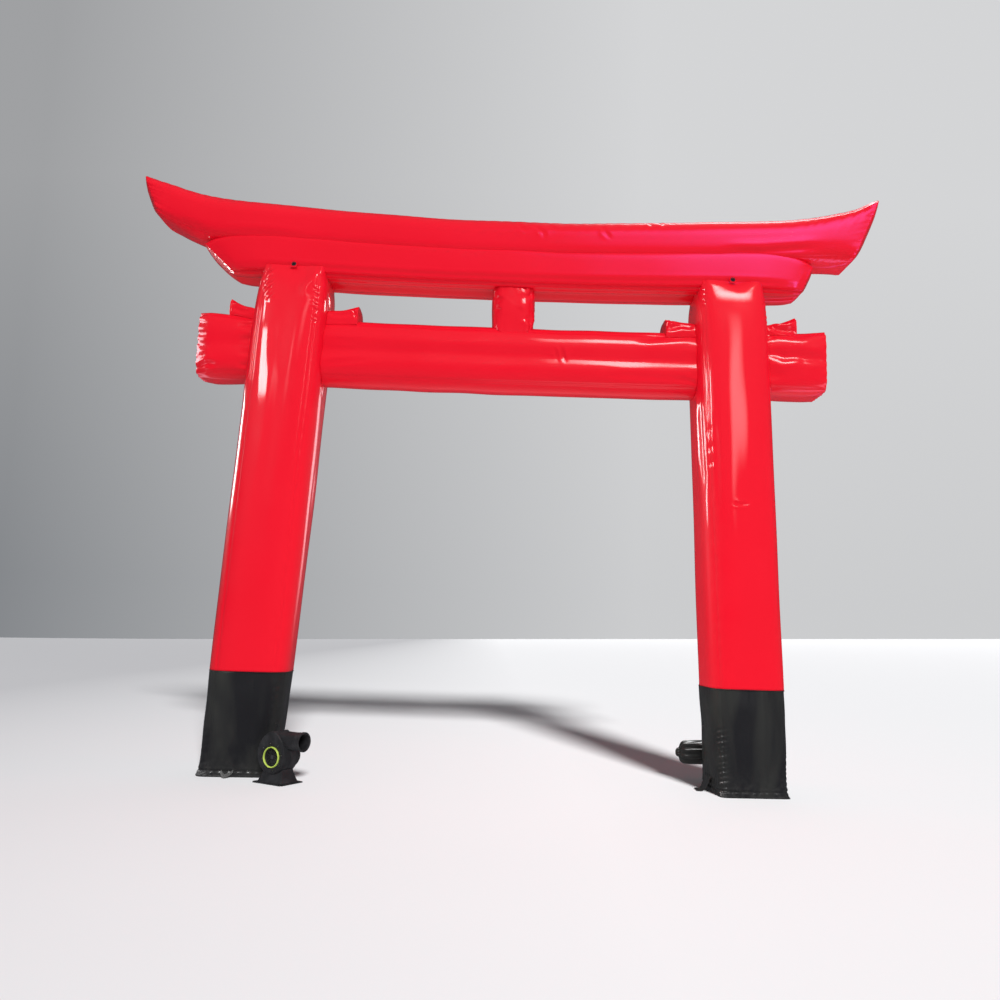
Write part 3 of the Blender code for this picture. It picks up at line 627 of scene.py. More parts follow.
# marks on the skin: each route is in degrees round the pillar (270 is the front) and metres up
pillarMarks = {
    "left": {
        "seams": (45, 135, 231, 309),
        # route, pitch, depth, reach, slant
        "ladders": [
            ([(234, 3.225), (242, 3.0)], 0.036, 0.015, 0.022, 0.8),
            ([(308, 3.12), (310, 2.86)], 0.035, 0.0085, 0.018, -0.6),
            ([(309, 2.8), (309, 0.7)], 0.11, 0.0012, 0.022, 0.0),
            ([(231, 2.2), (231, 0.7)], 0.12, 0.0012, 0.022, 0.0),
            ([(45, 3.24), (45, 2.6)], 0.039, 0.0085, 0.024, 0.5),
            ([(135, 3.24), (135, 2.6)], 0.037, 0.0085, 0.024, -0.5),
            ([(45, 2.5), (45, 0.7)], 0.095, 0.0025, 0.024, 0.3),
            ([(135, 2.5), (135, 0.7)], 0.105, 0.0025, 0.024, -0.3),
        ],
        # route, width, depth (below 0 stands proud), fade
        "folds": [
            ([(318, 3.245), (306, 3.18), (295, 3.12), (289, 3.02)], 0.026, -0.0055, 0.25),
            ([(289, 3.08), (287, 2.8), (284, 2.45)], 0.05, -0.0026, 0.3),
            ([(338, 3.13), (344, 3.03), (346, 2.97)], 0.014, -0.007, 0.4),
            ([(258, 2.8), (257, 2.3), (254, 1.6)], 0.03, -0.002, 0.4),
            ([(283, 2.3), (281, 1.7), (279, 1.1)], 0.045, -0.0022, 0.5),
            ([(325, 2.66), (338, 2.56), (348, 2.4)], 0.018, 0.006, 0.4),
            ([(200, 2.62), (212, 2.5), (214, 2.3)], 0.016, 0.007, 0.4),
            ([(60, 2.9), (90, 2.7), (120, 2.92)], 0.035, 0.005, 0.4),
        ],
        # above this line the top leans back: share across the front and drop, and how steeply
        "flap": {"line": [(-1.0, 0.012), (-0.45, 0.075), (0.1, 0.15), (0.45, 0.15), (1.0, 0.012)],
                 "slope": 0.12},
    },
    "right": {
        "seams": (45, 135, 227, 317),
        "ladders": [
            ([(316, 3.13), (320, 2.96)], 0.034, 0.009, 0.018, 0.6),
            ([(224, 3.22), (226, 3.08)], 0.036, 0.0045, 0.018, -0.6),
            ([(226, 2.4), (229, 2.1), (229, 1.72)], 0.13, 0.002, 0.02, 0.4),
            ([(317, 2.85), (317, 1.9)], 0.11, 0.0022, 0.022, 0.0),
            ([(317, 1.9), (318, 1.45)], 0.055, 0.0055, 0.018, 1.0),
            ([(229, 1.65), (228, 0.7)], 0.1, 0.0022, 0.022, 0.0),
            ([(45, 3.24), (45, 2.6)], 0.041, 0.0085, 0.024, 0.5),
            ([(135, 3.24), (135, 2.6)], 0.036, 0.0085, 0.024, -0.5),
            ([(45, 2.5), (45, 0.7)], 0.105, 0.0025, 0.024, 0.3),
            ([(135, 2.5), (135, 0.7)], 0.095, 0.0025, 0.024, -0.3),
        ],
        "folds": [
            ([(200, 2.54), (199, 2.25), (200, 1.9)], 0.02, -0.006, 0.3),
            ([(213, 2.58), (213, 2.3), (215, 1.8)], 0.018, 0.005, 0.3),
            ([(234, 2.44), (236, 2.1), (235, 1.66)], 0.014, 0.003, 0.4),
            ([(253, 1.776), (266, 1.768), (279, 1.776)], 0.009, 0.0036, 0.4),
            ([(290, 1.7), (296, 1.3), (292, 0.9)], 0.032, 0.002, 0.5),
            ([(60, 2.9), (90, 2.68), (120, 2.9)], 0.035, 0.005, 0.4),
        ],
        "flap": {"line": [(-1.0, 0.0), (-0.7, 0.01), (-0.35, 0.034), (0.15, 0.066), (0.4, 0.06),
                          (0.62, 0.032), (0.86, 0.0), (1.0, 0.0)],
                 "slope": 0.42},
    },
}


def pillarRelief(side, z, angles):
    look, marks = pillarLook, pillarMarks[side]
    around = np.degrees(angles) % 360 * look["degree"]
    relief = look["unevenness"] * swell(angles * 0.24, z * 0.6, 0.6, 3 + look[side]["sign"])
    for seam in marks["seams"]:
        beside = np.degrees(awayFrom(angles, seam)) * look["degree"]
        relief -= look["seamDepth"] * np.exp(-(beside / look["seamWidth"]) ** 2)
    ladders = inMetres(marks["ladders"], look["degree"])
    for order, (line, pitch, depth, reach, slant) in enumerate(ladders):
        relief += ladder(around, z, line, pitch, depth, reach, slant, 1.7 * order)
    relief += folds(around, z, inMetres(marks["folds"], look["degree"]))
    relief += puckers(z - look["border"], around, look["borderPuckers"], 9.0)
    across = np.degrees(awayFrom(angles, 270)) / 45
    places, drops = zip(*marks["flap"]["line"])
    over = z - (look["height"] - np.interp(across, places, drops))
    lean = look["flapBend"] * np.log1p(np.exp(np.clip(over / look["flapBend"], -30, 30)))
    relief -= marks["flap"]["slope"] * lean * window(across, -0.98, 0.98, 0.25)
    return relief


footLook = {
    # start, end and spacing of the rings
    "zones": [(0.0, 0.1, 0.0045), (0.1, 0.5, 0.009), (0.5, 0.632, 0.006)],
    "radian": 0.24,  # round the skin, in metres
    "cornerRadian": 0.28,
    "unevenness": 0.003,
    "seamDepth": 0.003,
    "seamWidth": 0.008,
    "solePuckers": (0.075, 0.0045, 0.052),
    "borderPuckers": (0.03, 0.0022, 0.031),
    "soleSeam": (0.036, 0.006, 0.0035),  # height, width, depth
    "gatherReach": 0.04,
    # gathers at a corner seam: degrees round it, bottom, top, depth, pitch
    "cornerGathers": {
        "left": [(225, 0.05, 0.3, 0.003, 0.045), (315, 0.3, 0.6, 0.003, 0.05)],
        "right": [(225, 0.07, 0.4, 0.0065, 0.03), (315, 0.04, 0.26, 0.005, 0.03)],
    },
    "soleShares": (0.97, 0.8, 0.5, 0.2),
}


def footRelief(side, z, angles):
    look, sign = footLook, pillarLook[side]["sign"]
    around = angles * look["radian"]
    relief = look["unevenness"] * swell(around, z, 0.42, 11 + sign)
    relief += puckers(np.clip(z - 0.035, 0, None), around, look["solePuckers"], 4.0 + sign) * (z > 0.02)
    relief += puckers(pillarLook["border"] - z, around, look["borderPuckers"], 7.0)
    height, width, depth = look["soleSeam"]
    relief += foldLine(z - height, width, depth)
    for seam in pillarMarks[side]["seams"]:
        beside = awayFrom(angles, seam) * look["cornerRadian"]
        relief -= look["seamDepth"] * np.exp(-(beside / look["seamWidth"]) ** 2)
    if side == "left":
        # its outer corner spreads on the floor, and a long bend runs up its front
        corner = np.exp(-(awayFrom(angles, 225) * look["cornerRadian"] / 0.05) ** 2)
        relief += 0.016 * corner * np.exp(-z / 0.05)
        bend = awayFrom(angles, 277) * look["radian"] - 0.03 * np.sin(z * 6)
        relief += window(z, 0.03, 0.42, 0.2) * foldLine(bend, 0.03, 0.0045)
    for order, (seam, bottom, top, depth, pitch) in enumerate(look["cornerGathers"][side]):
        beside = awayFrom(angles, seam) * look["cornerRadian"]
        relief += depth * np.exp(-(beside / look["gatherReach"]) ** 2) * window(z, bottom, top, 0.08) * (
            0.5 - gathers(z - 0.25 * beside, pitch, 5.0 + order))
    return relief * window(z, 0.004, 9, 0.012)


def makeFoot(side):
    angles = seamAngles(pillarLook["sides"])[None, :]
    z = np.minimum(stations(*footLook["zones"])[:, None], pillarLook["border"] - gap / 2) + 0 * angles
    points = puffed(pillarPoints(side, z, angles + 0 * z), footRelief(side, z, angles))
    points[..., 2] = z
    softPiece("foot." + side, "foot_" + side, points, "black", 0.9,
              shrunk(points[0], footLook["soleShares"]), shrunk(points[-1], lidShares))
    return treeOf(points)


def makePillar(side, beamTree):
    top, bendFrom, below = pillarLook["height"], pillarLook["stretchFrom"], 2.9
    angles = seamAngles(pillarLook["sides"])[None, :]
    (border, *firstZone), *zones = pillarLook["zones"]
    z = stations((border + gap / 2, *firstZone), *zones)[:, None]
    edge = pillarPoints(side, np.full_like(angles, top), angles)[0]
    ends = np.minimum(top, heightsAt(beamTree, edge, below, 1, top))[None, :]
    bent = np.where(z > bendFrom, z + (ends - top) * ((z - bendFrom) / (top - bendFrom)) ** 2, z + 0 * angles)
    relief = pillarRelief(side, bent, angles) * (z > z[0])
    points = puffed(pillarPoints(side, bent, angles + 0 * bent), relief)
    points[..., 2] = bent
    lid = shrunk(points[-1], (0.985, 0.96, 0.92, 0.8, 0.55, 0.25))
    for ring in lid:
        ring[:, 2] = np.minimum(top, heightsAt(beamTree, ring, below, 1, top))
    softPiece("pillar." + side, "pillar_" + side, points, "red", 0.95, shrunk(points[0], lidShares), lid)
    return treeOf(points)


# the two beams
beamSteps = (0.015, 0.008)  # between rings along the middle, and near the ends

topBeamLook = {
    # creases in the front: route in x and z, width, depth, fade
    "folds": [
        ([(0.03, 3.61), (0.06, 3.57), (0.1, 3.55)], 0.01, 0.005, 0.4),
        ([(0.13, 3.6), (0.2, 3.55), (0.21, 3.49)], 0.01, 0.006, 0.4),
        ([(0.25, 3.6), (0.28, 3.57)], 0.009, 0.0045, 0.4),
        ([(0.58, 3.62), (0.61, 3.56), (0.65, 3.51)], 0.011, 0.0065, 0.4),
        ([(0.9, 3.67), (0.92, 3.62)], 0.01, 0.006, 0.4),
        ([(0.97, 3.68), (1.0, 3.63)], 0.01, 0.006, 0.4),
        ([(1.06, 3.68), (1.06, 3.64)], 0.01, 0.0055, 0.4),
        ([(1.35, 3.455), (1.63, 3.466), (1.9, 3.496), (2.09, 3.524)], 0.022, 0.011, 0.3),
        ([(-1.3, 3.455), (-1.6, 3.466), (-1.97, 3.476)], 0.024, 0.005, 0.4),
        ([(-2.02, 3.44), (-2.1, 3.475), (-2.24, 3.505)], 0.02, -0.007, 0.4),
    ],
    # x and z of the upper edge, x and z of the lower, half its depth, squareness above and below
    "middle": [
        (0.0, 3.665, 0.0, 3.375, 0.19, 2.35, 4.2),
        (0.4, 3.666, 0.4, 3.376, 0.19, 2.35, 4.2),
        (0.8, 3.685, 0.8, 3.385, 0.19, 2.35, 4.2),
        (1.2, 3.704, 1.2, 3.4, 0.19, 2.35, 4.4),
        (1.6, 3.728, 1.58, 3.417, 0.19, 2.35, 4.6),
        (1.9, 3.752, 1.86, 3.428, 0.188, 2.45, 4.2),
    ],
    "left": [
        (2.11, 3.782, 2.04, 3.448, 0.182, 2.75, 3.2),
        (2.29, 3.828, 2.18, 3.5, 0.174, 3.35, 3.2),
        (2.42, 3.858, 2.29, 3.562, 0.166, 4.5, 4.5),
        (2.465, 3.866, 2.355, 3.604, 0.158, 7.5, 8.0),
    ],
    "right": [
        (2.11, 3.785, 2.01, 3.428, 0.182, 2.75, 3.2),
        (2.29, 3.828, 2.14, 3.432, 0.174, 3.35, 3.2),
        (2.39, 3.87, 2.22, 3.44, 0.166, 4.5, 4.5),
        (2.45, 3.885, 2.265, 3.452, 0.158, 7.5, 8.0),
    ],
    "bulge": 0.04,
    "groove": 0.0,
    "sides": 120,
    "radian": 0.21,  # round the skin, in metres
    "unevenness": 0.0022,
    "seamDepth": 0.003,
    "reach": 2.44,
    "rimPuckers": (0.05, 0.0055, 0.04),
    # gathers beside a seam: degrees round it, how far they reach, pitch, depth
    "seamGathers": [(135, 0.1, 0.085, 0.0022), (45, 0.1, 0.09, 0.0022), (225, 0.04, 0.06, 0.0016)],
}
lowerBeamLook = {
    # rows as for the top beam
    "middle": [
        (0.0, 3.456, 0.0, 3.176, 0.188, 5.0, 3.7),
        (0.5, 3.454, 0.5, 3.177, 0.188, 5.0, 3.7),
        (1.0, 3.46, 1.0, 3.186, 0.188, 6.0, 3.7),
        (1.3, 3.474, 1.3, 3.193, 0.186, 7.0, 3.8),
        (1.6, 3.482, 1.59, 3.199, 0.18, 8.0, 3.8),
    ],
    "left": [
        (1.82, 3.48, 1.68, 3.204, 0.17, 8.0, 3.8),
        (1.96, 3.455, 1.76, 3.209, 0.152, 8.0, 4.2),
        (2.05, 3.42, 1.83, 3.218, 0.12, 8.0, 5.0),
    ],
    "right": [
        (1.78, 3.48, 1.72, 3.201, 0.17, 8.0, 3.8),
        (1.92, 3.45, 1.85, 3.206, 0.152, 8.0, 4.2),
        (2.01, 3.41, 1.92, 3.217, 0.12, 8.0, 5.0),
    ],
    "bulge": 0.026,
    # long soft creases low on the front and under it: degrees round it, width, depth
    "pleats": [(212, 0.016, 0.004), (240, 0.016, 0.006), (257, 0.014, 0.005), (300, 0.016, 0.005)],
    # its two lower seams are drawn in
    "seamCreases": [(225, 0.011, 0.005), (315, 0.011, 0.005)],
    "groove": 0.03,
    "sides": 112,
    "radian": 0.2,
    "unevenness": 0.0018,
    "seamDepth": 0.003,
    "reach": 2.1,
    "rimPuckers": (0.05, 0.005, 0.036),
}


def beamGrid(look):
    # rings from the left end to the right one, with each point's place along the beam and round it
    angles = seamAngles(look["sides"])[None, :]
    grid, along = [], []
    for side, sign in (("left", -1), ("right", 1)):
        dense = denseRows(look["middle"] + look[side])
        places = stations((0.0, 1.9, beamSteps[0]), (1.9, dense[-1, 0], beamSteps[1]))
        if sign < 0:
            places = places[:0:-1]
        xHigh, zHigh, xLow, zLow, half, above, below = (
            np.interp(places, dense[:, 0], dense[:, i])[:, None] for i in range(7))
        rise, lean = zHigh - zLow, sign * (xHigh - xLow)
        length = np.hypot(rise, lean)
        across, up = squareRoundTwo(angles, above, below)
        groove = np.where(np.sin(angles) < 0, look["groove"] * np.exp(-(across / 0.3) ** 2), 0)
        lift = up * length / 2 + groove
        x = sign * (xHigh + xLow) / 2 + lift * lean / length
        z = (zHigh + zLow) / 2 + lift * rise / length
        grid.append(np.stack([x, half * across, z], -1))
        along.append(np.repeat(sign * places[:, None], angles.shape[1], 1))
    along = np.concatenate(along)
    return np.concatenate(grid), along, angles + 0 * along


def makeTopBeam():
    look = topBeamLook
    points, along, angles = beamGrid(look)
    relief = baseRelief(look, angles, along, angles * 0.2, 0.8, 21)
    relief += puckers(look["reach"] - np.abs(along), angles * 0.19, look["rimPuckers"], 3.0, 0.45)
    strength = 0.35 + 0.65 * window(along, -0.2, 1.1, 0.8) + 0.5 * window(np.abs(along), 1.7, 2.6, 0.4)
    for seam, reach, pitch, depth in look["seamGathers"]:
        beside = awayFrom(angles, seam) * look["radian"]
        near = depth * strength * np.exp(-(beside / reach) ** 2)
        relief += near * (0.4 - gathers(along + 0.3 * beside, pitch, seam))
    front = window(awayFrom(angles, 180), -1.3, 1.3, 0.3)
    relief += front * folds(points[..., 0], points[..., 2], look["folds"])
    points = puffed(points, relief)
    softPiece("topBeam", "top_beam", points, "red", 0.9, *domes(points, bulgeShares, look["bulge"]))
    return treeOf(points)


def makeLowerBeam(topTree):
    look = lowerBeamLook
    points, along, angles = beamGrid(look)
    relief = baseRelief(look, angles, along, angles * 0.2, 0.7, 31)
    for degrees, width, depth in look["seamCreases"]:
        relief += foldLine(awayFrom(angles, degrees) * look["radian"], width, depth)
    for degrees, width, depth in look["pleats"]:
        wander = 0.02 * np.sin(along * 2.1 + degrees)
        away = (awayFrom(angles, degrees) + wander) * look["radian"]
        relief += foldLine(away, width, depth) * window(along, -1.6, 1.8, 0.5)
    relief += puckers(look["reach"] - np.abs(along), angles * 0.18, look["rimPuckers"], 6.0, 0.45)
    front = awayFrom(angles, 225) * look["radian"]
    relief += 0.0016 * np.exp(-(front / 0.05) ** 2) * (0.4 - gathers(along, 0.07, 8.0))
    points = puffed(points, relief)
    holdOff(points, topTree, 2, 3.2, 1)
    softPiece("lowerBeam", "lower_beam", points, "red", 0.9, *domes(points, bulgeShares, look["bulge"]))
    return treeOf(points)


topTree = makeTopBeam()
lowerTree = makeLowerBeam(topTree)
print("beams made")
pillarTrees = {side: makePillar(side, lowerTree) for side in ("left", "right")}
footTrees = {side: makeFoot(side) for side in ("left", "right")}
print("pillars and feet made")


# the tie beam and its two outer ends
tieLook = {
    # x, lowest, highest, half its depth, squareness, depth of the crease on its two sides
    "middle": [
        (0.0, 2.493, 2.927, 0.152, 3.0, 0.014),
        (0.6, 2.495, 2.929, 0.152, 3.0, 0.014),
        (1.0, 2.498, 2.932, 0.149, 3.0, 0.014),
        (1.25, 2.502, 2.936, 0.142, 3.0, 0.014),
        (1.4, 2.504, 2.93, 0.134, 3.2, 0.014),
    ],
    "left": [
        (1.45, 2.524, 2.915, 0.132, 3.4, 0.02),
        (1.66, 2.518, 2.922, 0.15, 3.6, 0.012),
        (1.8, 2.51, 2.935, 0.17, 4.0, 0.008),
        (1.93, 2.506, 2.945, 0.172, 4.2, 0.006),
        (1.98, 2.51, 2.947, 0.158, 4.4, 0.005),
        (2.03, 2.52, 2.946, 0.122, 5.0, 0.004),
    ],
    "right": [
        (1.45, 2.538, 2.92, 0.132, 3.6, 0.01),
        (1.68, 2.532, 2.928, 0.15, 4.2, 0.008),
        (1.82, 2.528, 2.94, 0.17, 4.5, 0.006),
        (1.97, 2.528, 2.95, 0.176, 4.5, 0.004),
        (2.065, 2.54, 2.954, 0.168, 6.0, 0.003),
    ],
    "bulge": 0.012,
    "sides": 112,
    "radian": 0.21,  # round the skin, in metres
    "unevenness": 0.0016,
    "seamDepth": 0.0025,
    # the skin stretches or shrinks to meet its pillar from fixed on, and is drawn as far as guess
    "middleRun": {"fixed": 0.9, "guess": 1.4, "steps": (0.013, 0.008)},
    "endRun": {"fixed": 1.8, "guess": 1.46, "start": 1.5, "step": 0.0055},
    "middlePuckers": (0.035, 0.003, 0.045),
    "rimPuckers": {"left": (0.03, 0.009, 0.052), "right": (0.03, 0.006, 0.052)},
    "rootPuckers": (0.04, 0.006, 0.05),
}


def tiePoints(dense, sign, x, angles):
    low, high, half, power, waist = (np.interp(x, dense[:, 0], dense[:, i]) for i in range(1, 6))
    across, up = squareRound(angles, power)
    drawn = waist * np.exp(-((up / 0.22) ** 2)) * np.sign(across) * np.minimum(1, np.abs(across) * 1.2)
    z = (low + high) / 2 + (high - low) / 2 * up
    return np.stack([sign * x + 0 * angles, half * across - drawn, z], -1)


def meetPillar(dense, sign, angles, tree, fixed, far):
    # for each line along the tube, the x at which it meets the pillar
    ends = np.full(angles.shape[1], float(far))
    for _ in range(3):
        start = tiePoints(dense, sign, np.full_like(angles, fixed), angles)[0]
        stop = tiePoints(dense, sign, ends[None, :], angles)[0]
        for k in range(len(ends)):
            met = cast(tree, start[k], stop[k] - start[k])
            if met:
                ends[k] = abs(met.x) - math.copysign(gap, far - fixed)
    return ends


# creases and ridges drawn on the front and the back: route in x and z, width, depth, fade
tieMarks = {
    "front": [
        ([(0.1, 2.712), (0.6, 2.706), (1.27, 2.712)], 0.008, 0.0014, 0.2),
        ([(0.8, 2.862), (0.92, 2.868), (1.04, 2.886), (1.24, 2.925)], 0.026, 0.008, 0.3),
        ([(-1.1, 2.842), (-0.5, 2.836), (0.0, 2.834)], 0.02, 0.0015, 0.3),
        ([(0.335, 2.79), (0.35, 2.735), (0.378, 2.682)], 0.009, 0.01, 0.4),
        ([(0.29, 2.775), (0.312, 2.735), (0.322, 2.7)], 0.008, 0.006, 0.4),
        ([(0.6, 2.605), (0.95, 2.6), (1.25, 2.606)], 0.018, 0.0035, 0.3),
        ([(-1.24, 2.61), (-1.0, 2.64), (-0.85, 2.65)], 0.014, 0.005, 0.4),
        ([(-1.24, 2.78), (-1.05, 2.77), (-0.9, 2.775)], 0.012, 0.004, 0.4),
        ([(1.27, 2.56), (1.16, 2.59), (1.05, 2.592)], 0.012, 0.005, 0.4),
    ],
    "back": [
        ([(-1.27, 2.72), (0.0, 2.712), (1.27, 2.722)], 0.011, 0.006, 0.1),
        ([(-1.27, 2.85), (-0.7, 2.838), (-0.2, 2.836)], 0.01, 0.0055, 0.2),
        ([(0.1, 2.61), (0.7, 2.606), (1.27, 2.6)], 0.014, 0.004, 0.2),
    ],
    "right": [
        ([(1.6, 3.01), (1.72, 2.962), (1.83, 2.916), (1.91, 2.914), (2.0, 2.936)], 0.024, 0.0085, 0.2),
        ([(1.6, 2.83), (1.7, 2.793), (1.8, 2.764), (1.88, 2.77), (1.97, 2.76), (2.06, 2.762)],
         0.026, 0.01, 0.1),
        ([(1.66, 2.742), (1.78, 2.712), (1.92, 2.722)], 0.04, -0.006, 0.3),
        ([(1.58, 2.9), (1.64, 2.85), (1.66, 2.79)], 0.03, -0.007, 0.3),
        ([(1.62, 2.69), (1.7, 2.65), (1.82, 2.64)], 0.024, 0.004, 0.4),
    ],
    "left": [
        ([(-1.6, 2.885), (-1.7, 2.855), (-1.78, 2.85)], 0.013, 0.011, 0.4),
        ([(-1.6, 2.79), (-1.69, 2.76), (-1.77, 2.752)], 0.013, 0.011, 0.4),
        ([(-1.6, 2.69), (-1.69, 2.668), (-1.76, 2.655)], 0.013, 0.01, 0.4),
        ([(-1.6, 2.6), (-1.7, 2.58), (-1.77, 2.585)], 0.013, 0.008, 0.4),
        ([(-2.04, 2.86), (-1.98, 2.85), (-1.95, 2.856)], 0.013, 0.007, 0.4),
        ([(-2.04, 2.79), (-1.99, 2.778), (-1.95, 2.784)], 0.012, 0.007, 0.4),
        ([(-2.04, 2.715), (-1.97, 2.7), (-1.92, 2.708)], 0.013, 0.008, 0.4),
        ([(-2.04, 2.64), (-1.98, 2.63), (-1.94, 2.64)], 0.012, 0.007, 0.4),
        ([(-2.02, 2.56), (-1.94, 2.578), (-1.86, 2.57)], 0.016, 0.009, 0.4),
    ],
    "endBack": [
        ([(1.62, 2.8), (1.78, 2.77), (1.95, 2.775)], 0.013, 0.009, 0.3),
        ([(1.62, 2.66), (1.76, 2.655), (1.88, 2.66)], 0.013, 0.007, 0.3),
    ],
}


def tieRelief(x, z, angles, frontMarks, backMarks):
    relief = baseRelief(tieLook, angles, x, angles * 0.2, 0.6, 41)
    for side, marks in ((180, frontMarks), (0, backMarks)):
        relief += window(awayFrom(angles, side), -1.0, 1.0, 0.25) * folds(x, z, marks)
    return relief


def makeTieBeam():
    angles = seamAngles(tieLook["sides"])[None, :]
    dense = denseRows(tieLook["middle"])
    fixed, guess, steps = tieLook["middleRun"].values()
    halves = []
    for side, sign in (("left", -1), ("right", 1)):
        ends = meetPillar(dense, sign, angles, pillarTrees[side], fixed, guess)[None, :]
        x = stations((0.0, fixed, steps[0]), (fixed, guess, steps[1]))[:, None]
        x = np.where(x > fixed, fixed + (x - fixed) / (guess - fixed) * (ends - fixed), x + 0 * angles)
        halves.append(tiePoints(dense, sign, x, angles + 0 * x))
    points = np.concatenate([halves[0][:0:-1], halves[1]])
    angles = angles + 0 * points[..., 0]
    x, z = points[..., 0], points[..., 2]
    relief = tieRelief(x, z, angles, tieMarks["front"], tieMarks["back"])
    relief += puckers((1.24 - np.abs(x)).clip(0), angles * 0.18, tieLook["middlePuckers"], 2.0)
    points = puffed(points, relief)
    softPiece("tieBeam", "tie_beam", points, "red", 0.9, *domes(points, flatShares, 0.0))
    return treeOf(points)


def makeTieEnd(side):
    sign = pillarLook[side]["sign"]
    angles = seamAngles(tieLook["sides"])[None, :]
    dense = denseRows(tieLook[side])
    reach = dense[-1, 0]
    fixed, guess, start, step = tieLook["endRun"].values()
    roots = meetPillar(dense, sign, angles, pillarTrees[side], fixed, guess)[None, :]
    x = stations((start, reach, step))[:, None]
    x = np.where(x < fixed, fixed - (fixed - x) / (fixed - start) * (fixed - roots), x + 0 * angles)
    points = tiePoints(dense, sign, x, angles + 0 * x)
    angles = angles + 0 * x
    relief = tieRelief(sign * x, points[..., 2], angles, tieMarks[side], tieMarks["endBack"])
    relief += puckers(reach - x, angles * 0.2, tieLook["rimPuckers"][side], 5.0, 0.45)
    atRoot = puckers(x - roots, angles * 0.19, tieLook["rootPuckers"], 1.0)
    relief += atRoot * np.clip((x - roots) / 0.01, 0, 1)
    points = puffed(points, relief)
    head = dome(points[0], points[8], flatShares, 0.0)
    tail = dome(points[-1], points[-9], bulgeShares, tieLook["bulge"])
    softPiece("tieEnd." + side, "tie_end_" + side, points, "red", 0.85, head, tail)
    return treeOf(points)


tieTree = makeTieBeam()
tieEndTrees = {side: makeTieEnd(side) for side in ("left", "right")}
print("tie beam and its ends made")


# wedge cushions on the tie beam, and the centre strut
wedgeLook = {
    "halfDepth": 0.118,
    "squareness": 3.6,
    "bulge": 0.01,
    "rings": 52,
    "sides": 72,
    "radian": 0.1,  # round the skin, in metres
    "unevenness": 0.0015,
    "seamDepth": 0.003,
    "rimPuckers": (0.022, 0.005, 0.034),
    "rootPuckers": (0.03, 0.0035, 0.034),
    "tailShares": (0.97, 0.9, 0.75, 0.5, 0.25),
    # node, side, lowest, and rows of x and highest from the pillar outwards
    "pieces": {
        "leftOuter": ("wedge_left_outer", -1, 2.86, [(1.5, 2.99), (1.66, 3.012), (1.84, 3.054)]),
        "leftInner": ("wedge_left_inner", -1, 2.84, [(1.34, 2.995), (1.14, 3.003), (1.0, 3.032)]),
        "rightInner": ("wedge_right_inner", 1, 2.84, [(1.34, 2.995), (1.18, 3.002), (1.03, 3.016)]),
        "rightOuter": ("wedge_right_outer", 1, 2.86, [(1.5, 3.005), (1.7, 3.022), (1.89, 3.06)]),
    },
    # creases on the front: share of the way out and height, width, depth, fade
    "marks": {
        "leftOuter": [
            ([(0.0, 2.965), (0.5, 2.955), (1.0, 2.985)], 0.012, 0.008, 0.2),
            ([(0.75, 3.04), (0.9, 2.99), (0.95, 2.93)], 0.01, 0.005, 0.4),
        ],
        "leftInner": [
            ([(0.0, 2.955), (0.6, 2.958), (1.0, 2.975)], 0.011, 0.006, 0.2),
            ([(0.78, 3.02), (0.9, 2.97), (0.96, 2.93)], 0.009, 0.006, 0.4),
        ],
        "rightInner": [
            ([(0.0, 2.962), (0.5, 2.966), (1.0, 2.94)], 0.018, 0.012, 0.2),
            ([(0.76, 3.01), (0.9, 2.97), (0.93, 2.92)], 0.009, 0.008, 0.4),
        ],
        "rightOuter": [
            ([(0.0, 3.006), (0.35, 2.968), (0.7, 2.955), (1.0, 2.965)], 0.02, 0.015, 0.2),
            ([(0.2, 3.024), (0.6, 3.016), (1.0, 3.044)], 0.013, 0.008, 0.3),
        ],
    },
    "markLength": 0.3,
}


def makeWedge(name, node, sign, low, rows, order):
    look = wedgeLook
    side = "left" if sign < 0 else "right"
    under = tieTree if "Inner" in name else tieEndTrees[side]
    dense = denseRows(rows)
    angles = seamAngles(look["sides"])[None, :]
    steps = np.linspace(0, 1, look["rings"])[:, None]
    high = np.interp(steps, np.linspace(0, 1, len(dense)), dense[:, 1])
    across, up = squareRound(angles, look["squareness"] + 0 * steps)
    y = look["halfDepth"] * across
    z = (low + high) / 2 + (high - low) / 2 * up
    near, far = sign * dense[0, 0], sign * dense[-1, 0]
    toPillar = math.copysign(1, near - far)
    starts = []
    for k in range(look["sides"]):
        met = cast(pillarTrees[side], (far, y[0, k], z[0, k]), (toPillar, 0, 0))
        starts.append(met.x - toPillar * gap if met else near)
    starts = np.array(starts)[None, :]
    x = starts + (far - starts) * steps
    points = np.stack([x, y + 0 * x, z + 0 * x], -1)
    angles = angles + 0 * x
    around, length = angles * look["radian"], abs(far - starts.mean())
    relief = baseRelief(look, angles, x * 3, angles * 0.3, 0.6, 50 + order)
    relief += puckers((1 - steps) * length, around, look["rimPuckers"], 2.0 + order)
    relief += puckers(steps * length, around, look["rootPuckers"], 2.0 + order)
    marks = inMetres(look["marks"][name], look["markLength"])
    front = window(awayFrom(angles, 180), -1.0, 1.0, 0.25)
    relief += front * folds(steps * look["markLength"] + 0 * x, points[..., 2], marks)
    points = puffed(points, relief * np.minimum(1, steps / 0.06))
    tail = dome(points[-1], points[-5], look["tailShares"], look["bulge"])
    head = dome(points[0], points[4], lidShares, 0.0)
    for grid in (points, *tail, *head):
        holdOff(grid, under, 2, 3.3, -1)
    softPiece("wedge." + name, node, points, "red", 0.85, head, tail)


for order, (name, values) in enumerate(wedgeLook["pieces"].items()):
    makeWedge(name, *values, order)


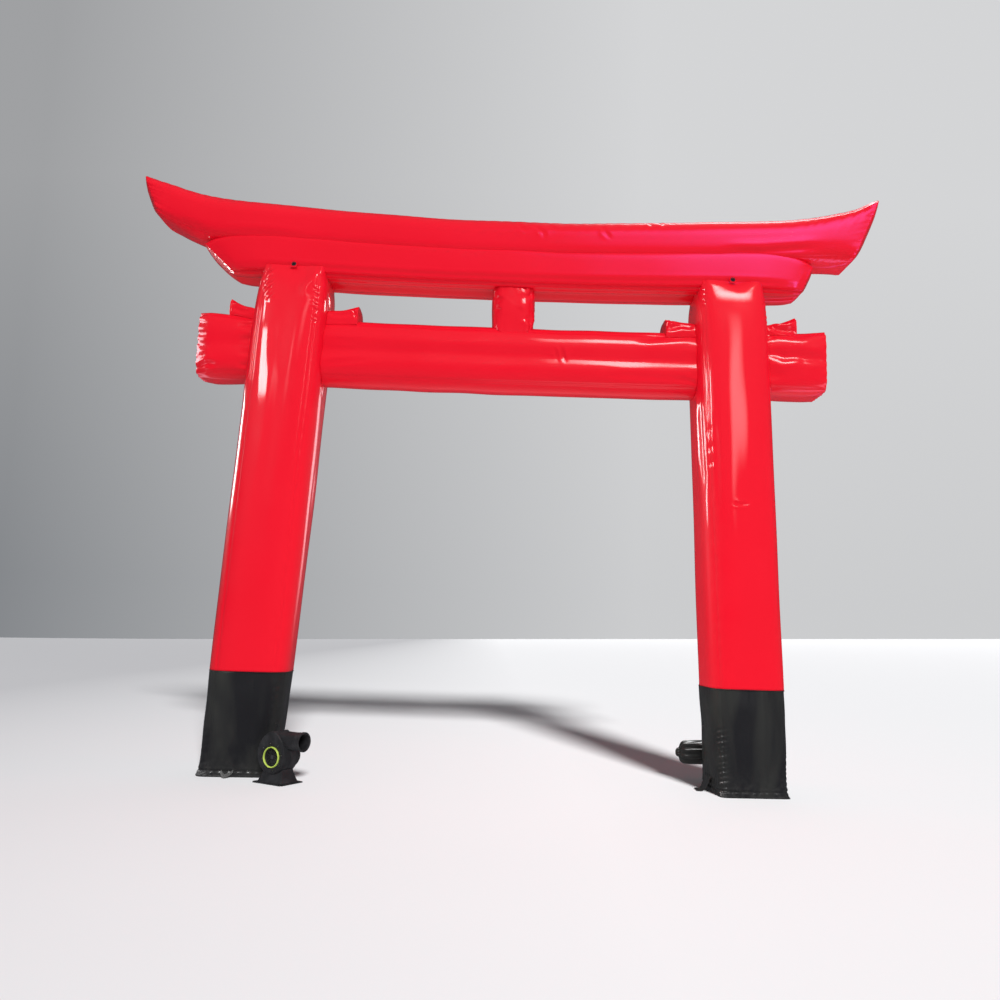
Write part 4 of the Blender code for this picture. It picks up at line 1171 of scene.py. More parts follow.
strutLook = {
    # creases: route in degrees round it and height, width, depth, fade
    "marks": [
        ([(286, 3.02), (297, 3.055), (309, 3.09)], 0.034, -0.006, 0.3),
        ([(300, 3.105), (312, 3.14), (324, 3.175)], 0.014, 0.008, 0.3),
        ([(301, 2.99), (312, 2.965), (322, 2.935)], 0.016, 0.01, 0.3),
        ([(320, 2.935), (330, 2.99), (338, 3.04)], 0.018, -0.006, 0.3),
        ([(322, 3.11), (332, 3.08), (342, 3.1)], 0.014, 0.007, 0.4),
        ([(224, 3.12), (236, 3.095), (228, 3.06)], 0.012, 0.006, 0.4),
        ([(222, 3.05), (232, 3.03), (226, 3.0)], 0.012, 0.006, 0.4),
        ([(45, 3.1), (60, 3.04), (75, 2.99)], 0.012, 0.006, 0.4),
    ],
    "x": 0.022,
    "halfWidth": 0.138,
    "halfDepth": 0.13,
    # height, share of its size, squareness
    "rows": [
        (2.8, 0.92, 7.0),
        (2.9, 0.96, 5.0),
        (3.02, 1.03, 3.4),
        (3.12, 1.03, 3.4),
        (3.21, 0.97, 5.0),
        (3.28, 0.92, 7.0),
    ],
    "rings": 56,
    "sides": 96,
    "radian": 0.15,  # round the skin, in metres
    "degree": 0.0026,  # one degree round it, in metres
    "length": 0.3,
    "unevenness": 0.0015,
    "seamDepth": 0.003,
    "footPuckers": (0.03, 0.0065, 0.033),
    "headPuckers": (0.035, 0.0065, 0.033),
    "between": (3.0, 3.15),  # heights well inside it, from which the two beams are looked for
}


def makeStrut():
    look = strutLook
    dense = denseRows(look["rows"])
    angles = seamAngles(look["sides"])[None, :]
    across, up = squareRound(angles[0], 4.0)
    spots = np.stack([look["x"] + look["halfWidth"] * across, look["halfDepth"] * up, 0 * up], -1)
    lower, upper = look["between"]
    bottoms, tops = heightsAt(tieTree, spots, upper, -1), heightsAt(lowerTree, spots, lower, 1)
    steps = np.linspace(0, 1, look["rings"])[:, None]
    z = bottoms + (tops - bottoms) * steps
    share, power = (np.interp(z, dense[:, 0], dense[:, i]) for i in (1, 2))
    angles = angles + 0 * z
    across, up = squareRound(angles, power)
    points = np.stack([look["x"] + look["halfWidth"] * share * across, look["halfDepth"] * share * up, z], -1)
    relief = baseRelief(look, angles, angles * 0.2, z * 1.5, 0.35, 61)
    relief += puckers(steps * look["length"], angles * 0.14, look["footPuckers"], 3.3)
    relief += puckers((1 - steps) * look["length"], angles * 0.14, look["headPuckers"], 3.3)
    relief += folds(np.degrees(angles) % 360 * look["degree"], z, inMetres(look["marks"], look["degree"]))
    points = puffed(points, relief)
    points[..., 2] = z
    head, tail = domes(points, lidShares, 0.0, 4)
    for ring in head:
        ring[:, 2] = heightsAt(tieTree, ring, upper, -1)
    for ring in tail:
        ring[:, 2] = heightsAt(lowerTree, ring, lower, 1)
    softPiece("centreStrut", "centre_strut", points, "red", 0.9, head, tail)


makeStrut()
print("wedges and strut made")


# the inflation sleeve behind the right foot
sleeveLook = {
    # x, y, z, radius
    "rows": [
        (1.54, 0.13, 0.205, 0.076),
        (1.528, 0.215, 0.202, 0.078),
        (1.48, 0.282, 0.194, 0.078),
        (1.395, 0.311, 0.186, 0.08),
        (1.31, 0.311, 0.182, 0.08),
        (1.258, 0.311, 0.181, 0.078),
        (1.232, 0.311, 0.181, 0.062),
        (1.22, 0.311, 0.181, 0.034),
        (1.208, 0.311, 0.181, 0.028),
        (1.2, 0.311, 0.181, 0.018),
    ],
    "folds": 9,
    "gatheredFrom": 1.36,  # beyond this x it is drawn together
    "slack": (0.03, 0.16),  # depth of its folds as a share of its radius, and what the gathered end adds
    # creases along it: degrees round it, width, depth
    "creases": [(150, 0.007, 0.008), (205, 0.006, 0.007)],
    "sides": 96,
}


def makeSleeve():
    dense = denseRows(sleeveLook["rows"], 14)
    run = unit(np.gradient(dense[:, :3], axis=0))
    across = unit(np.cross(run, (0, 0, 1)))
    up = np.cross(across, run)
    angles = (2 * np.pi * np.arange(sleeveLook["sides"]) / sleeveLook["sides"])[None, :]
    x = dense[:, 0][:, None]
    gathered = np.clip((sleeveLook["gatheredFrom"] - x) / 0.1, 0, 1)
    slack = gathered * sleeveLook["slack"][1] + sleeveLook["slack"][0]
    fold = np.cos(sleeveLook["folds"] * angles + 0.8 * np.sin(2 * angles) + 4 * (x - 1.3))
    creases = sum(foldLine(awayFrom(angles + 0 * x, degrees) * 0.08, width, depth)
                  for degrees, width, depth in sleeveLook["creases"])
    radius = dense[:, 3][:, None]
    reach = radius * (0.985 - slack * (0.5 - 0.5 * fold)) + creases * (1 - gathered) * (x < 1.5)
    points = (dense[:, None, :3] + across[:, None] * (reach * np.cos(angles))[..., None]
              + up[:, None] * (reach * np.sin(angles))[..., None])
    holdOff(points, footTrees["right"], 1, 0.6, -1)
    head = dome(points[0], points[4], (0.8, 0.4, 0.1), 0.0)
    for ring in head:
        ring[:, 1] = points[0][:, 1]
    tail = dome(points[-1], points[-4], (0.8, 0.4), 0.003)
    softPiece("inflationSleeve", "inflation_sleeve", points, "black", 0.7, head, tail)


makeSleeve()
print("sleeve made")


# geometry nodes for what repeats round a circle or follows a path
def newTree(name, inputs):
    tree = bpy.data.node_groups.new(name, "GeometryNodeTree")
    for label, kind in {"Geometry": "Geometry", **inputs, "Finish": "Material"}.items():
        tree.interface.new_socket(label, in_out="INPUT", socket_type="NodeSocket" + kind)
    tree.interface.new_socket("Geometry", in_out="OUTPUT", socket_type="NodeSocketGeometry")
    return tree, tree.nodes.new("NodeGroupInput"), tree.nodes.new("NodeGroupOutput")


def wire(tree, *routes):
    # each route is a node, its output, the next node and its input
    for source, output, target, slot in routes:
        tree.links.new(source.outputs[output], target.inputs[slot])


def closeTree(tree, source, output, given, out):
    realize = tree.nodes.new("GeometryNodeRealizeInstances")
    paint = tree.nodes.new("GeometryNodeSetMaterial")
    wire(tree, (source, output, realize, "Geometry"), (realize, "Geometry", paint, "Geometry"),
         (given, "Finish", paint, "Material"), (paint, "Geometry", out, "Geometry"))


def roundTree():
    # copies of a small mesh round a circle, each turned to face outwards
    tree, given, out = newTree("repeatRound", {
        "Item": "Object", "Count": "Int", "Radius": "Float", "Start": "Float"})
    circle = tree.nodes.new("GeometryNodeMeshCircle")
    item = tree.nodes.new("GeometryNodeObjectInfo")
    spread = tree.nodes.new("GeometryNodeInstanceOnPoints")
    index = tree.nodes.new("GeometryNodeInputIndex")
    turn = tree.nodes.new("ShaderNodeMath")
    turn.operation = "MULTIPLY"
    share = tree.nodes.new("ShaderNodeMath")
    share.operation = "DIVIDE"
    share.inputs[0].default_value = 2 * math.pi
    spin = tree.nodes.new("ShaderNodeCombineXYZ")
    whole = tree.nodes.new("GeometryNodeTransform")
    start = tree.nodes.new("ShaderNodeCombineXYZ")
    wire(tree, (given, "Count", circle, "Vertices"), (given, "Radius", circle, "Radius"),
         (given, "Item", item, "Object"), (given, "Count", share, 1),
         (index, "Index", turn, 0), (share, "Value", turn, 1), (turn, "Value", spin, "Z"),
         (circle, "Mesh", spread, "Points"), (item, "Geometry", spread, "Instance"),
         (spin, "Vector", spread, "Rotation"), (given, "Start", start, "Z"),
         (start, "Vector", whole, "Rotation"), (spread, "Instances", whole, "Geometry"))
    closeTree(tree, whole, "Geometry", given, out)
    return tree


def pathTree():
    # a round bead along a path
    tree, given, out = newTree("beadAlongPath", {"Radius": "Float", "Sides": "Int"})
    profile = tree.nodes.new("GeometryNodeCurvePrimitiveCircle")
    sweep = tree.nodes.new("GeometryNodeCurveToMesh")
    smooth = tree.nodes.new("GeometryNodeSetShadeSmooth")
    wire(tree, (given, "Sides", profile, "Resolution"), (given, "Radius", profile, "Radius"),
         (given, "Geometry", sweep, "Curve"), (profile, "Curve", sweep, "Profile Curve"),
         (sweep, "Mesh", smooth, "Geometry"))
    closeTree(tree, smooth, "Geometry", given, out)
    return tree


def stitchTree():
    # copies of a small mesh along a path, turned with it
    tree, given, out = newTree("repeatAlongPath", {"Item": "Object", "Pitch": "Float"})
    item = tree.nodes.new("GeometryNodeObjectInfo")
    walk = tree.nodes.new("GeometryNodeCurveToPoints")
    walk.mode = "LENGTH"
    spread = tree.nodes.new("GeometryNodeInstanceOnPoints")
    wire(tree, (given, "Item", item, "Object"), (given, "Pitch", walk, "Length"),
         (given, "Geometry", walk, "Curve"), (walk, "Points", spread, "Points"),
         (walk, "Rotation", spread, "Rotation"), (item, "Geometry", spread, "Instance"))
    closeTree(tree, spread, "Instances", given, out)
    return tree


trees = {"round": roundTree(), "path": pathTree(), "stitch": stitchTree()}


def grown(name, tree, values, finish, carrier=None, place=None):
    # runs a tree on a carrier object, or on nothing, and keeps the result as a plain mesh
    if carrier is None:
        carrier = addObject("carrier", bpy.data.meshes.new("carrier"))
    modifier = carrier.modifiers.new("grow", "NODES")
    modifier.node_group = trees[tree]
    values = {**values, "Finish": finishes[finish]}
    for socket in trees[tree].interface.items_tree:
        if socket.item_type == "SOCKET" and socket.in_out == "INPUT" and socket.name in values:
            modifier[socket.identifier] = values[socket.name]
    bpy.context.view_layer.update()
    seen = carrier.evaluated_get(bpy.context.evaluated_depsgraph_get())
    mesh = bpy.data.meshes.new_from_object(seen)
    mesh.name = name
    carrier.modifiers.remove(modifier)
    bpy.data.objects.remove(carrier)
    if place is not None:
        mesh.transform(place)
    return finished(name, mesh, finish, sharp=35)


def pathObject(points, closed=False):
    curve = bpy.data.curves.new("path", "CURVE")
    curve.dimensions = "3D"
    line = curve.splines.new("POLY")
    line.points.add(len(points) - 1)
    for target, point in zip(line.points, points):
        target.co = (*point, 1)
    line.use_cyclic_u = closed
    return addObject("path", curve)


def meshFrom(shape, name):
    mesh = bpy.data.meshes.new(name)
    shape.to_mesh(mesh)
    shape.free()
    return mesh


# the welt where a black foot is welded to its red pillar
weltLook = {"radius": 0.003, "sides": 8, "proud": 0.0005, "points": 160}


def makeWelt(side):
    count = weltLook["points"]
    line = pillarPoints(side, np.full((1, count), pillarLook["border"]), seamAngles(count)[None, :])
    band = line + np.array([-0.01, 0, 0.01])[:, None, None] * (0, 0, 1)
    points = puffed(band, np.full((3, count), weltLook["proud"]))[1]
    piece = grown("welt." + side, "path", {"Radius": weltLook["radius"], "Sides": weltLook["sides"]},
                  "black", pathObject(points, True))
    handOver(piece, "pvc_black")


for side in ("left", "right"):
    makeWelt(side)
print("welts made")


# eyelet tabs at the pillar tops
eyeletLook = {
    "height": 3.258,
    "tabHalf": 0.02,
    "tabDrop": 0.025,
    "tabThickness": 0.0014,
    "tabRound": 0.014,  # the tab is round as far out as this
    "tabEdge": (0.001, 0.0005),  # how far in and down its edges are rolled
    "standoff": 0.0009,
    "hole": 0.0105,
    "ring": 0.016,
    # the ring between its hole and its outer edge: radius and height above the tab
    "lip": [(0.0117, 0.0026), (0.013, 0.003), (0.0148, 0.0024)],
    "lipEdges": (0.0012, 0.0008),
    # heights of the black disc in the hole, which is painted shade
    "hollow": (0.0001, 0.0004),
    "segments": 48,
}


def eyeletPlace(side):
    top = pillarLook["height"]
    front = np.array([[1.5 * np.pi]])
    high = pillarPoints(side, np.array([[top]]), front)[0, 0]
    dense = denseRows(pillarLook["rows"], 3)
    low = pillarPoints(side, np.array([[dense[-4, 0]]]), front)[0, 0]
    up = Vector(high - low).normalized()
    out = Vector((1, 0, 0)).cross(up).normalized()
    place = Matrix((Vector((1, 0, 0)), up, out)).transposed().to_4x4()
    place.translation = Vector(high) + up * (eyeletLook["height"] - top) + out * eyeletLook["standoff"]
    return place


def lathe(profile, segments, outline=None):
    # rings of (radius, height) turned about z; an outline stretches the radius by angle
    angles = 2 * np.pi * np.arange(segments) / segments
    rings = []
    for radius, height in profile:
        reach = radius if outline is None else outline(angles, radius)
        rings.append(np.stack([reach * np.cos(angles), reach * np.sin(angles), height + 0 * angles], -1))
    return np.array(rings)


def ringMesh(name, profile, segments, outline=None):
    # a closed ring of a profile that runs once round itself
    grid = lathe(profile, segments, outline)
    mesh = bpy.data.meshes.new(name)
    mesh.from_pydata(grid.reshape(-1, 3).tolist(), [], gridQuads(len(grid), segments, closed=True)[2])
    flat = mesh.uv_layers.new(name="skin")
    corners = np.array([loop.vertex_index for loop in mesh.loops])
    flat.data.foreach_set("uv", grid.reshape(-1, 3)[corners, :2].reshape(-1))
    return mesh


def makeEyelet(side):
    look = eyeletLook
    place = eyeletPlace(side)
    hole, outer, half, thick = look["hole"], look["ring"], look["tabHalf"], look["tabThickness"]

    def patch(angles, radius):
        # round near the hole, and square below its middle further out
        if radius < outer:
            return np.full_like(angles, radius)
        straight = np.minimum(half / np.maximum(np.abs(np.cos(angles)), 0.01),
                              look["tabDrop"] / np.maximum(-np.sin(angles), 0.01))
        return np.where(np.sin(angles) >= 0, half, straight) - (half - radius)

    def ring(name, slot, profile, finish, sharp, nodes=(), outline=None):
        mesh = ringMesh(name, profile, look["segments"], outline)
        mesh.transform(place)
        handOver(finished(name + "." + side, mesh, finish, sharp=sharp), slot, *nodes)

    flat, (inset, drop) = look["tabRound"], look["tabEdge"]
    ring("eyeletTab", "pvc_red", [
        (hole + gap, 0), (flat, 0), (half - inset, 0), (half, drop), (half, thick - drop),
        (half - inset, thick), (flat, thick), (hole + gap, thick)], "red", 50, ["eyelet_tab_" + side], patch)
    base = thick + gap
    inside, outside = look["lipEdges"]
    ring("eyelet", "eyelet_steel", [
        (hole, base), (hole, base + inside), *((radius, base + height) for radius, height in look["lip"]),
        (outer, base + outside), (outer, base)], "steel", 60, ["eyelet_" + side])
    # a black disc in the hole, put there as painted shade for the dark depth behind it
    low, high = look["hollow"]
    ring("eyeletHollow", "pvc_black", [(0.0008, low), (hole - gap, low), (hole - gap, high), (0.0008, high)],
         "black", 60)


for side in ("left", "right"):
    makeEyelet(side)
print("eyelets made")


# webbing loop before the left foot, and the flap beside the right one
loopLook = {
    "x": -1.628,
    "halfSpan": 0.036,
    "reach": 0.052,
    "high": 0.036,
    "low": 0.013,
    "halfWidth": 0.014,
    "tilt": (0.64, 0.77),  # how its width leans, out and up
    "rooted": 0.02,
    "thickness": 0.0026,
    "stitch": (0.0009, 0.0009, 0.0034),
    "stitchPitch": 0.0045,
    "stitchRows": (-0.0085, 0.0085),
}
flapLook = {
    "halfLength": 0.075,
    "shift": 0.01,
    "thickness": 0.0024,
    "tipShare": 0.62,
    "ripple": 0.0045,
    "lowest": 0.0008,
    # out from the foot, height
    "profile": [(-0.02, 0.1), (0.004, 0.086), (0.016, 0.052), (0.03, 0.022), (0.052, 0.006),
                (0.08, 0.003)],
}


def bandGrid(centres, sides, normals, thickness, across=9):
    # a closed section round a band: across it on one face and back on the other
    share = np.linspace(-1, 1, across)
    rows = []
    for centre, side, normal in zip(centres, sides, normals):
        edge = np.sqrt(np.clip(1 - share**8, 0.02, 1))
        front = [centre + side * s + normal * thickness / 2 * e for s, e in zip(share, edge)]
        back = [centre + side * s - normal * thickness / 2 * e for s, e in zip(share[::-1], edge[::-1])]
        rows.append(front + back)
    return np.array(rows)


def makeLoop():
    look = loopLook
    row = pillarLook["rows"][1]
    face = pillarLook["left"]["yFoot"] - row[1] * pillarLook["left"]["fullness"]
    t = np.linspace(0, np.pi, 73)
    drop = 0.45 * np.sin(t) + 0.55 * (1 - np.abs(np.cos(t)) ** 1.3)  # it comes to a soft point
    centres = np.stack([look["x"] - look["halfSpan"] * np.cos(t), face - look["reach"] * drop,
                        look["high"] + (look["low"] - look["high"]) * drop], -1)
    centres[[0, -1], 1] += look["rooted"]  # both ends run on to the foot's skin
    sides = np.repeat([[0, *(look["halfWidth"] * part for part in look["tilt"])]], len(t), 0)
    normals = unit(np.cross(np.gradient(centres, axis=0), sides))
    grid = bandGrid(centres, sides, normals, look["thickness"])
    holdOff(grid, footTrees["left"], 1, -0.6, 1)
    piece = skin("anchorLoop", grid, "webbing")
    handOver(piece, "webbing_grey", "anchor_loop_left")
    stitch = bmesh.new()
    bmesh.ops.create_uvsphere(stitch, u_segments=8, v_segments=6, radius=0.5)
    stitch.transform(Matrix.Diagonal((*look["stitch"], 1)))
    holder = bpy.data.objects.new("stitch", meshFrom(stitch, "stitch"))
    for row, level in enumerate(look["stitchRows"]):
        path = centres[4:-4] + np.array([0, 0, level]) + normals[4:-4] * look["thickness"] * 0.5
        made = grown("stitches%d" % row, "stitch", {"Item": holder, "Pitch": look["stitchPitch"]},
                     "webbing", pathObject(path))
        handOver(made, "webbing_grey")
    bpy.data.objects.remove(holder)


def makeFlap():
    look = flapLook
    foot = pillarLook["right"]
    side = foot["xFoot"] - pillarLook["rows"][0][1] * foot["fullness"]
    dense = denseRows(look["profile"], 8)
    x, z = side - dense[:, 0], dense[:, 1]
    centres = np.stack([x, np.full_like(x, foot["yFoot"] + look["shift"]), z], -1)
    taper = np.linspace(1, look["tipShare"], len(x))  # it narrows towards its tip
    sides = np.stack([0 * x, look["halfLength"] * taper, 0 * x], -1)
    normals = unit(np.cross(sides, np.gradient(centres, axis=0)))
    grid = bandGrid(centres, sides, normals, look["thickness"], 33)
    ripple = look["ripple"] * swell(grid[..., 1] * 2.2, grid[..., 0], 0.12, 71)
    grid[..., 2] += np.abs(ripple) * np.linspace(0.2, 1, len(x))[:, None]
    # what would sink into the floor lies almost flat on it
    grid[..., 2] = np.maximum(grid[..., 2], look["lowest"] + 0.3 * (grid[..., 2] - look["lowest"]))
    holdOff(grid, footTrees["right"], 0, 0.9, 1)
    piece = skin("anchorFlap", grid, "black")
    handOver(piece, "pvc_black", "anchor_flap_right")


makeLoop()
makeFlap()
print("loop and flap made")


# the blower: drawn with x along its long side and its inlet looking along -y, then turned into place
blowerLook = {
    "x": -1.29,
    "turn": -30,
    "halfDepth": 0.395,
    "base": (0.234, 0.196, 0.006),
    "scrollHeight": 0.152,
    "scrollThickness": 0.13,
    "radiusLow": 0.095,
    "radiusHigh": 0.15,
    # half of the housing's rolled rim: how far out from its outline, how far in from its flat side
    "rolledRim": [(-0.012, 0), (-0.006, 0.0012), (-0.0018, 0.005), (0, 0.01)],
    # the joint of its two halves: how far out from its outline, y
    "joint": [(0, 0.0075), (0.0022, 0.0062), (0.0022, -0.0062), (0, -0.0075)],
    "ductRadius": 0.047,
    "ductWall": 0.005,
    "ductHeight": 0.249,
    "ductReach": 0.188,
    "flangeRadius": 0.058,
    "flangeWidth": 0.012,
    "inletRadius": 0.054,
    "inletDepth": 0.025,
    "ringWidth": 0.007,
    "ringThickness": 0.01,
    # grille: radius and half the thickness of its inner rings, and its hub's radii and heights
    "grilleRings": [(0.0225, 0.0011), (0.0335, 0.0011), (0.044, 0.0011)],
    "grilleDepth": 0.0032,
    "spokes": 12,
    "hub": [(0.0005, -0.01), (0.011, -0.01), (0.0125, -0.009), (0.013, -0.004), (0.012, -0.0012),
            (0.008, -0.0004), (0.003, -0.0001), (0.0005, 0.0)],
    "vanes": 18,
    "vaneRadius": 0.034,
    "vaneDepth": 0.0148,
    "motorRadius": 0.074,
    "motorLength": 0.052,
    # the motor cover's section, in shares of its radius and its length
    "motorSection": [(1, 0.1), (0.985, 0.13), (0.985, 0.55), (0.96, 0.74), (0.9, 0.87), (0.8, 0.95),
                     (0.7, 0.985), (0.4, 1), (0.05, 1)],
    "ribs": 36,
    "rib": (0.004, 0.0022, 0.42),  # its height, its width, and its share of the motor's length
    # the stand above its lip: height, half its length, half its depth
    "stand": [(0.012, 0.0965, 0.079), (0.028, 0.09, 0.07), (0.05, 0.083, 0.0615),
              (0.07, 0.077, 0.055), (0.1, 0.068, 0.047)],
    "standRadius": 0.1,  # of the hollow that the housing rests in
    "screws": 8,
    "screwCircle": 0.079,
    # a screw head: radius, height
    "screw": [(0.0003, 0), (0.0044, 0), (0.0044, 0.0014), (0.0036, 0.0026), (0.002, 0.0031),
              (0.0018, 0.0016), (0.0003, 0.0016)],
    "baseScrewsAt": (0.107, 0.091, 0.1405),  # along, across, and the circle's radius
    "segments": 96,
}


def blowerPlace():
    look = blowerLook
    turn = math.radians(look["turn"])
    front = math.cos(turn) * look["flangeRadius"] - math.sin(turn) * look["ductReach"]
    return Matrix.Translation((look["x"], front - look["halfDepth"], 0)) @ Matrix.Rotation(turn, 4, "Z")


def scrollRadius(angles):
    turned = angles / (2 * np.pi)
    swept = np.where(angles > np.pi / 2, (1 - turned) * 4 / 3, turned * 4)
    return blowerLook["radiusLow"] + (blowerLook["radiusHigh"] - blowerLook["radiusLow"]) * swept**2


def closedGrid(name, grid, place, finish, sharp=35):
    made = skin(name, grid, finish)
    made.data.transform(place)
    made.data.set_sharp_from_angle(angle=math.radians(sharp))
    return made


def merge(name, *pieces):
    # several meshes in one object
    shape = bmesh.new()
    for piece in pieces:
        shape.from_mesh(piece.data)
    first = pieces[0]
    shape.to_mesh(first.data)
    shape.free()
    for piece in pieces[1:]:
        bpy.data.objects.remove(piece)
    first.name = name
    return first


def makeHousing(place):
    look = blowerLook
    height, half, inlet = look["scrollHeight"], look["scrollThickness"] / 2, look["inletRadius"]
    angles = 2 * np.pi * np.arange(look["segments"]) / look["segments"]
    outline, rim, floor = scrollRadius(angles), look["rolledRim"], look["inletDepth"] - half
    # across the back, over the rolled rim with its joint, down the front and into the inlet
    rings = [(outline * 0.1, half), (outline * 0.45, half), (outline - 0.03, half)]
    rings += [(outline + out, half - drop) for out, drop in rim]
    rings += [(outline + out, y) for out, y in look["joint"]]
    rings += [(outline + out, drop - half) for out, drop in rim[::-1]]
    rings += [((outline - 0.012) * (1 - share) + (inlet + 0.004) * share, -half) for share in (0.55, 0.9)]
    rings += [(inlet + 0.001, 0.0004 - half), (inlet, 0.0022 - half)]
    rings += [(inlet * share, floor) for share in (1, 0.6, 0.1)]
    grid = [np.stack([radius * np.cos(angles), y + 0 * angles, height + radius * np.sin(angles)], -1)
            for radius, y in rings]
    scroll = closedGrid("scroll", np.array(grid), place, "housing", 32)

    wall, bore, reach = look["ductRadius"] + look["ductWall"], look["ductRadius"], look["ductReach"]
    flange, neck = look["flangeRadius"], reach - look["flangeWidth"]
    turned = lathe([
        (wall * 0.1, 0.0), (wall, 0.0), (wall, neck - 0.03), (wall + 0.0018, neck - 0.028),
        (wall + 0.0018, neck - 0.02), (wall, neck - 0.018), (wall, neck - 0.001), (wall + 0.001, neck),
        (flange - 0.001, neck), (flange, neck + 0.001), (flange, reach - 0.001), (flange - 0.001, reach),
        (bore + 0.001, reach), (bore, reach - 0.001), (bore, 0.016), (bore * 0.1, 0.016)], 72)
    duct = np.stack([turned[..., 2], turned[..., 0], look["ductHeight"] + turned[..., 1]], -1)
    housing = merge("blowerHousing", scroll, closedGrid("duct", duct, place, "housing", 32))
    handOver(housing, "housing_black", "blower_housing")


def makeInletRing(facing):
    inlet, low, high = blowerLook["inletRadius"], gap, gap + blowerLook["ringThickness"]
    outer = inlet + blowerLook["ringWidth"]
    profile = [(inlet, low), (inlet, high - 0.002), (inlet + 0.0015, high), (outer - 0.002, high),
               (outer, high - 0.003), (outer, low)]
    mesh = ringMesh("ring", profile, blowerLook["segments"])
    mesh.transform(facing)
    handOver(finished("blowerRing", mesh, "lime", sharp=40), "ring_lime", "blower_ring")


def makeGrille(facing):
    look = blowerLook
    inlet, deep = look["inletRadius"], look["grilleDepth"]
    parts = []
    turn = np.linspace(0, 2 * np.pi, 73)[:-1]
    for radius, thick in (*look["grilleRings"], (inlet - 0.0016, 0.0013)):
        path = np.stack([radius * np.cos(turn), radius * np.sin(turn), 0 * turn - deep], -1)
        parts.append(grown("grilleRing", "path", {"Radius": thick, "Sides": 8}, "cover",
                           pathObject(path, True), facing))
    inner, length = 0.0105, inlet - 0.0115
    bar = closedGrid("bar", lathe([(0.0002, 0.0), (0.0013, 0.0), (0.0013, length), (0.0002, length)], 8),
                     Matrix.Rotation(math.pi / 2, 4, "Y"), "cover")
    parts.append(grown("spokes", "round", {
        "Item": bar, "Count": look["spokes"], "Radius": inner, "Start": 0.13},
        "cover", place=facing @ Matrix.Translation((0, 0, -deep))))
    bpy.data.objects.remove(bar)
    parts.append(closedGrid("hub", lathe(look["hub"], 40), facing, "cover"))
    handOver(merge("blowerGrille", *parts), "housing_black", "blower_grille")


def makeVanes(facing):
    # the impeller's vanes that show behind the grille, inside the housing's recess
    look = blowerLook
    centres = np.array([(0, 0, z) for z in np.linspace(-0.009, 0.009, 4)])
    along, facingOut = np.array([(0.014, 0.004, 0)] * 4), np.array([(-0.27, 0.96, 0)] * 4)
    vane = closedGrid("vane", bandGrid(centres, along, facingOut, 0.0012, 5), Matrix.Identity(4), "steel")
    vanes = grown("impeller", "round", {
        "Item": vane, "Count": look["vanes"], "Radius": look["vaneRadius"], "Start": 0.0},
        "cover", place=facing @ Matrix.Translation((0, 0, -look["vaneDepth"])))
    bpy.data.objects.remove(vane)
    handOver(vanes, "housing_black")


def makeMotorCover(backing):
    look = blowerLook
    radius, length = look["motorRadius"], look["motorLength"]
    profile = [(radius * 0.05, gap), (radius, gap)]
    profile += [(radius * out, length * far) for out, far in look["motorSection"]]
    cover = closedGrid("cover", lathe(profile, look["segments"]), backing, "cover")
    high, wide, share = look["rib"]
    rib = bmesh.new()
    bmesh.ops.create_cube(rib, size=1.0, matrix=Matrix.Diagonal((high, wide, length * share, 1)))
    bmesh.ops.bevel(rib, geom=rib.edges[:], offset=0.0006, segments=2, affect="EDGES")
    holder = bpy.data.objects.new("rib", meshFrom(rib, "rib"))
    ribs = grown("ribs", "round", {
        "Item": holder, "Count": look["ribs"], "Radius": radius * 0.985 - 0.0006, "Start": 0.0},
        "cover", place=backing @ Matrix.Translation((0, 0, length * 0.34)))
    bpy.data.objects.remove(holder)
    handOver(merge("motorCover", cover, ribs), "housing_black", "blower_motor_cover")


def makeStand(place):
    # a pressed saddle that narrows upwards, with a lip on the base plate
    look = blowerLook
    height, radius, thick = look["scrollHeight"], look["standRadius"], look["base"][2]
    lip = [(thick + gap, 0.1, 0.084), (thick + 0.003, 0.0995, 0.0835)]
    corner = 2 * np.pi * (np.arange(72) + 0.5) / 72
    across, along = squareRound(corner, 9.0)
    rows = np.array([np.stack([halfX * across, halfY * along, z + 0 * corner], -1)
                     for z, halfX, halfY in lip + look["stand"]])
    rows = denseRows(rows.reshape(len(rows), -1), 5).reshape(-1, 72, 3)
    under = height - np.sqrt(np.clip(radius**2 - rows[..., 0] ** 2, 0, None)) - gap
    rows[..., 2] = np.minimum(rows[..., 2], under)
    cap = [rows[-1] * (share, share, 1) for share in (0.8, 0.5, 0.2)]
    for ring in cap:
        ring[:, 2] = height - np.sqrt(radius**2 - ring[:, 0] ** 2) - gap
    stand = skin("blowerStand", rows, "housing", (), cap)
    stand.data.transform(place)
    stand.data.set_sharp_from_angle(angle=math.radians(30))
    handOver(stand, "housing_black", "blower_stand")


def makeBase(place):
    width, depth, thick = blowerLook["base"]
    base = bmesh.new()
    middle = Matrix.Translation((0, 0, thick / 2))
    bmesh.ops.create_cube(base, size=1.0, matrix=middle @ Matrix.Diagonal((width, depth, thick, 1)))

    def fall(edge):
        return abs(edge.verts[0].co.z - edge.verts[1].co.z)

    upright = [edge for edge in base.edges if fall(edge) > 0.001]
    bmesh.ops.bevel(base, geom=upright, offset=0.01, segments=6, affect="EDGES")
    level = [edge for edge in base.edges
             if fall(edge) < 1e-6 and len(edge.link_faces) == 2 and edge.calc_face_angle() > 1]
    bmesh.ops.bevel(base, geom=level, offset=0.0012, segments=3, affect="EDGES")
    base.transform(place)
    piece = finished("blowerBase", meshFrom(base, "base"), "housing", sharp=40)
    handOver(piece, "housing_black", "blower_base")


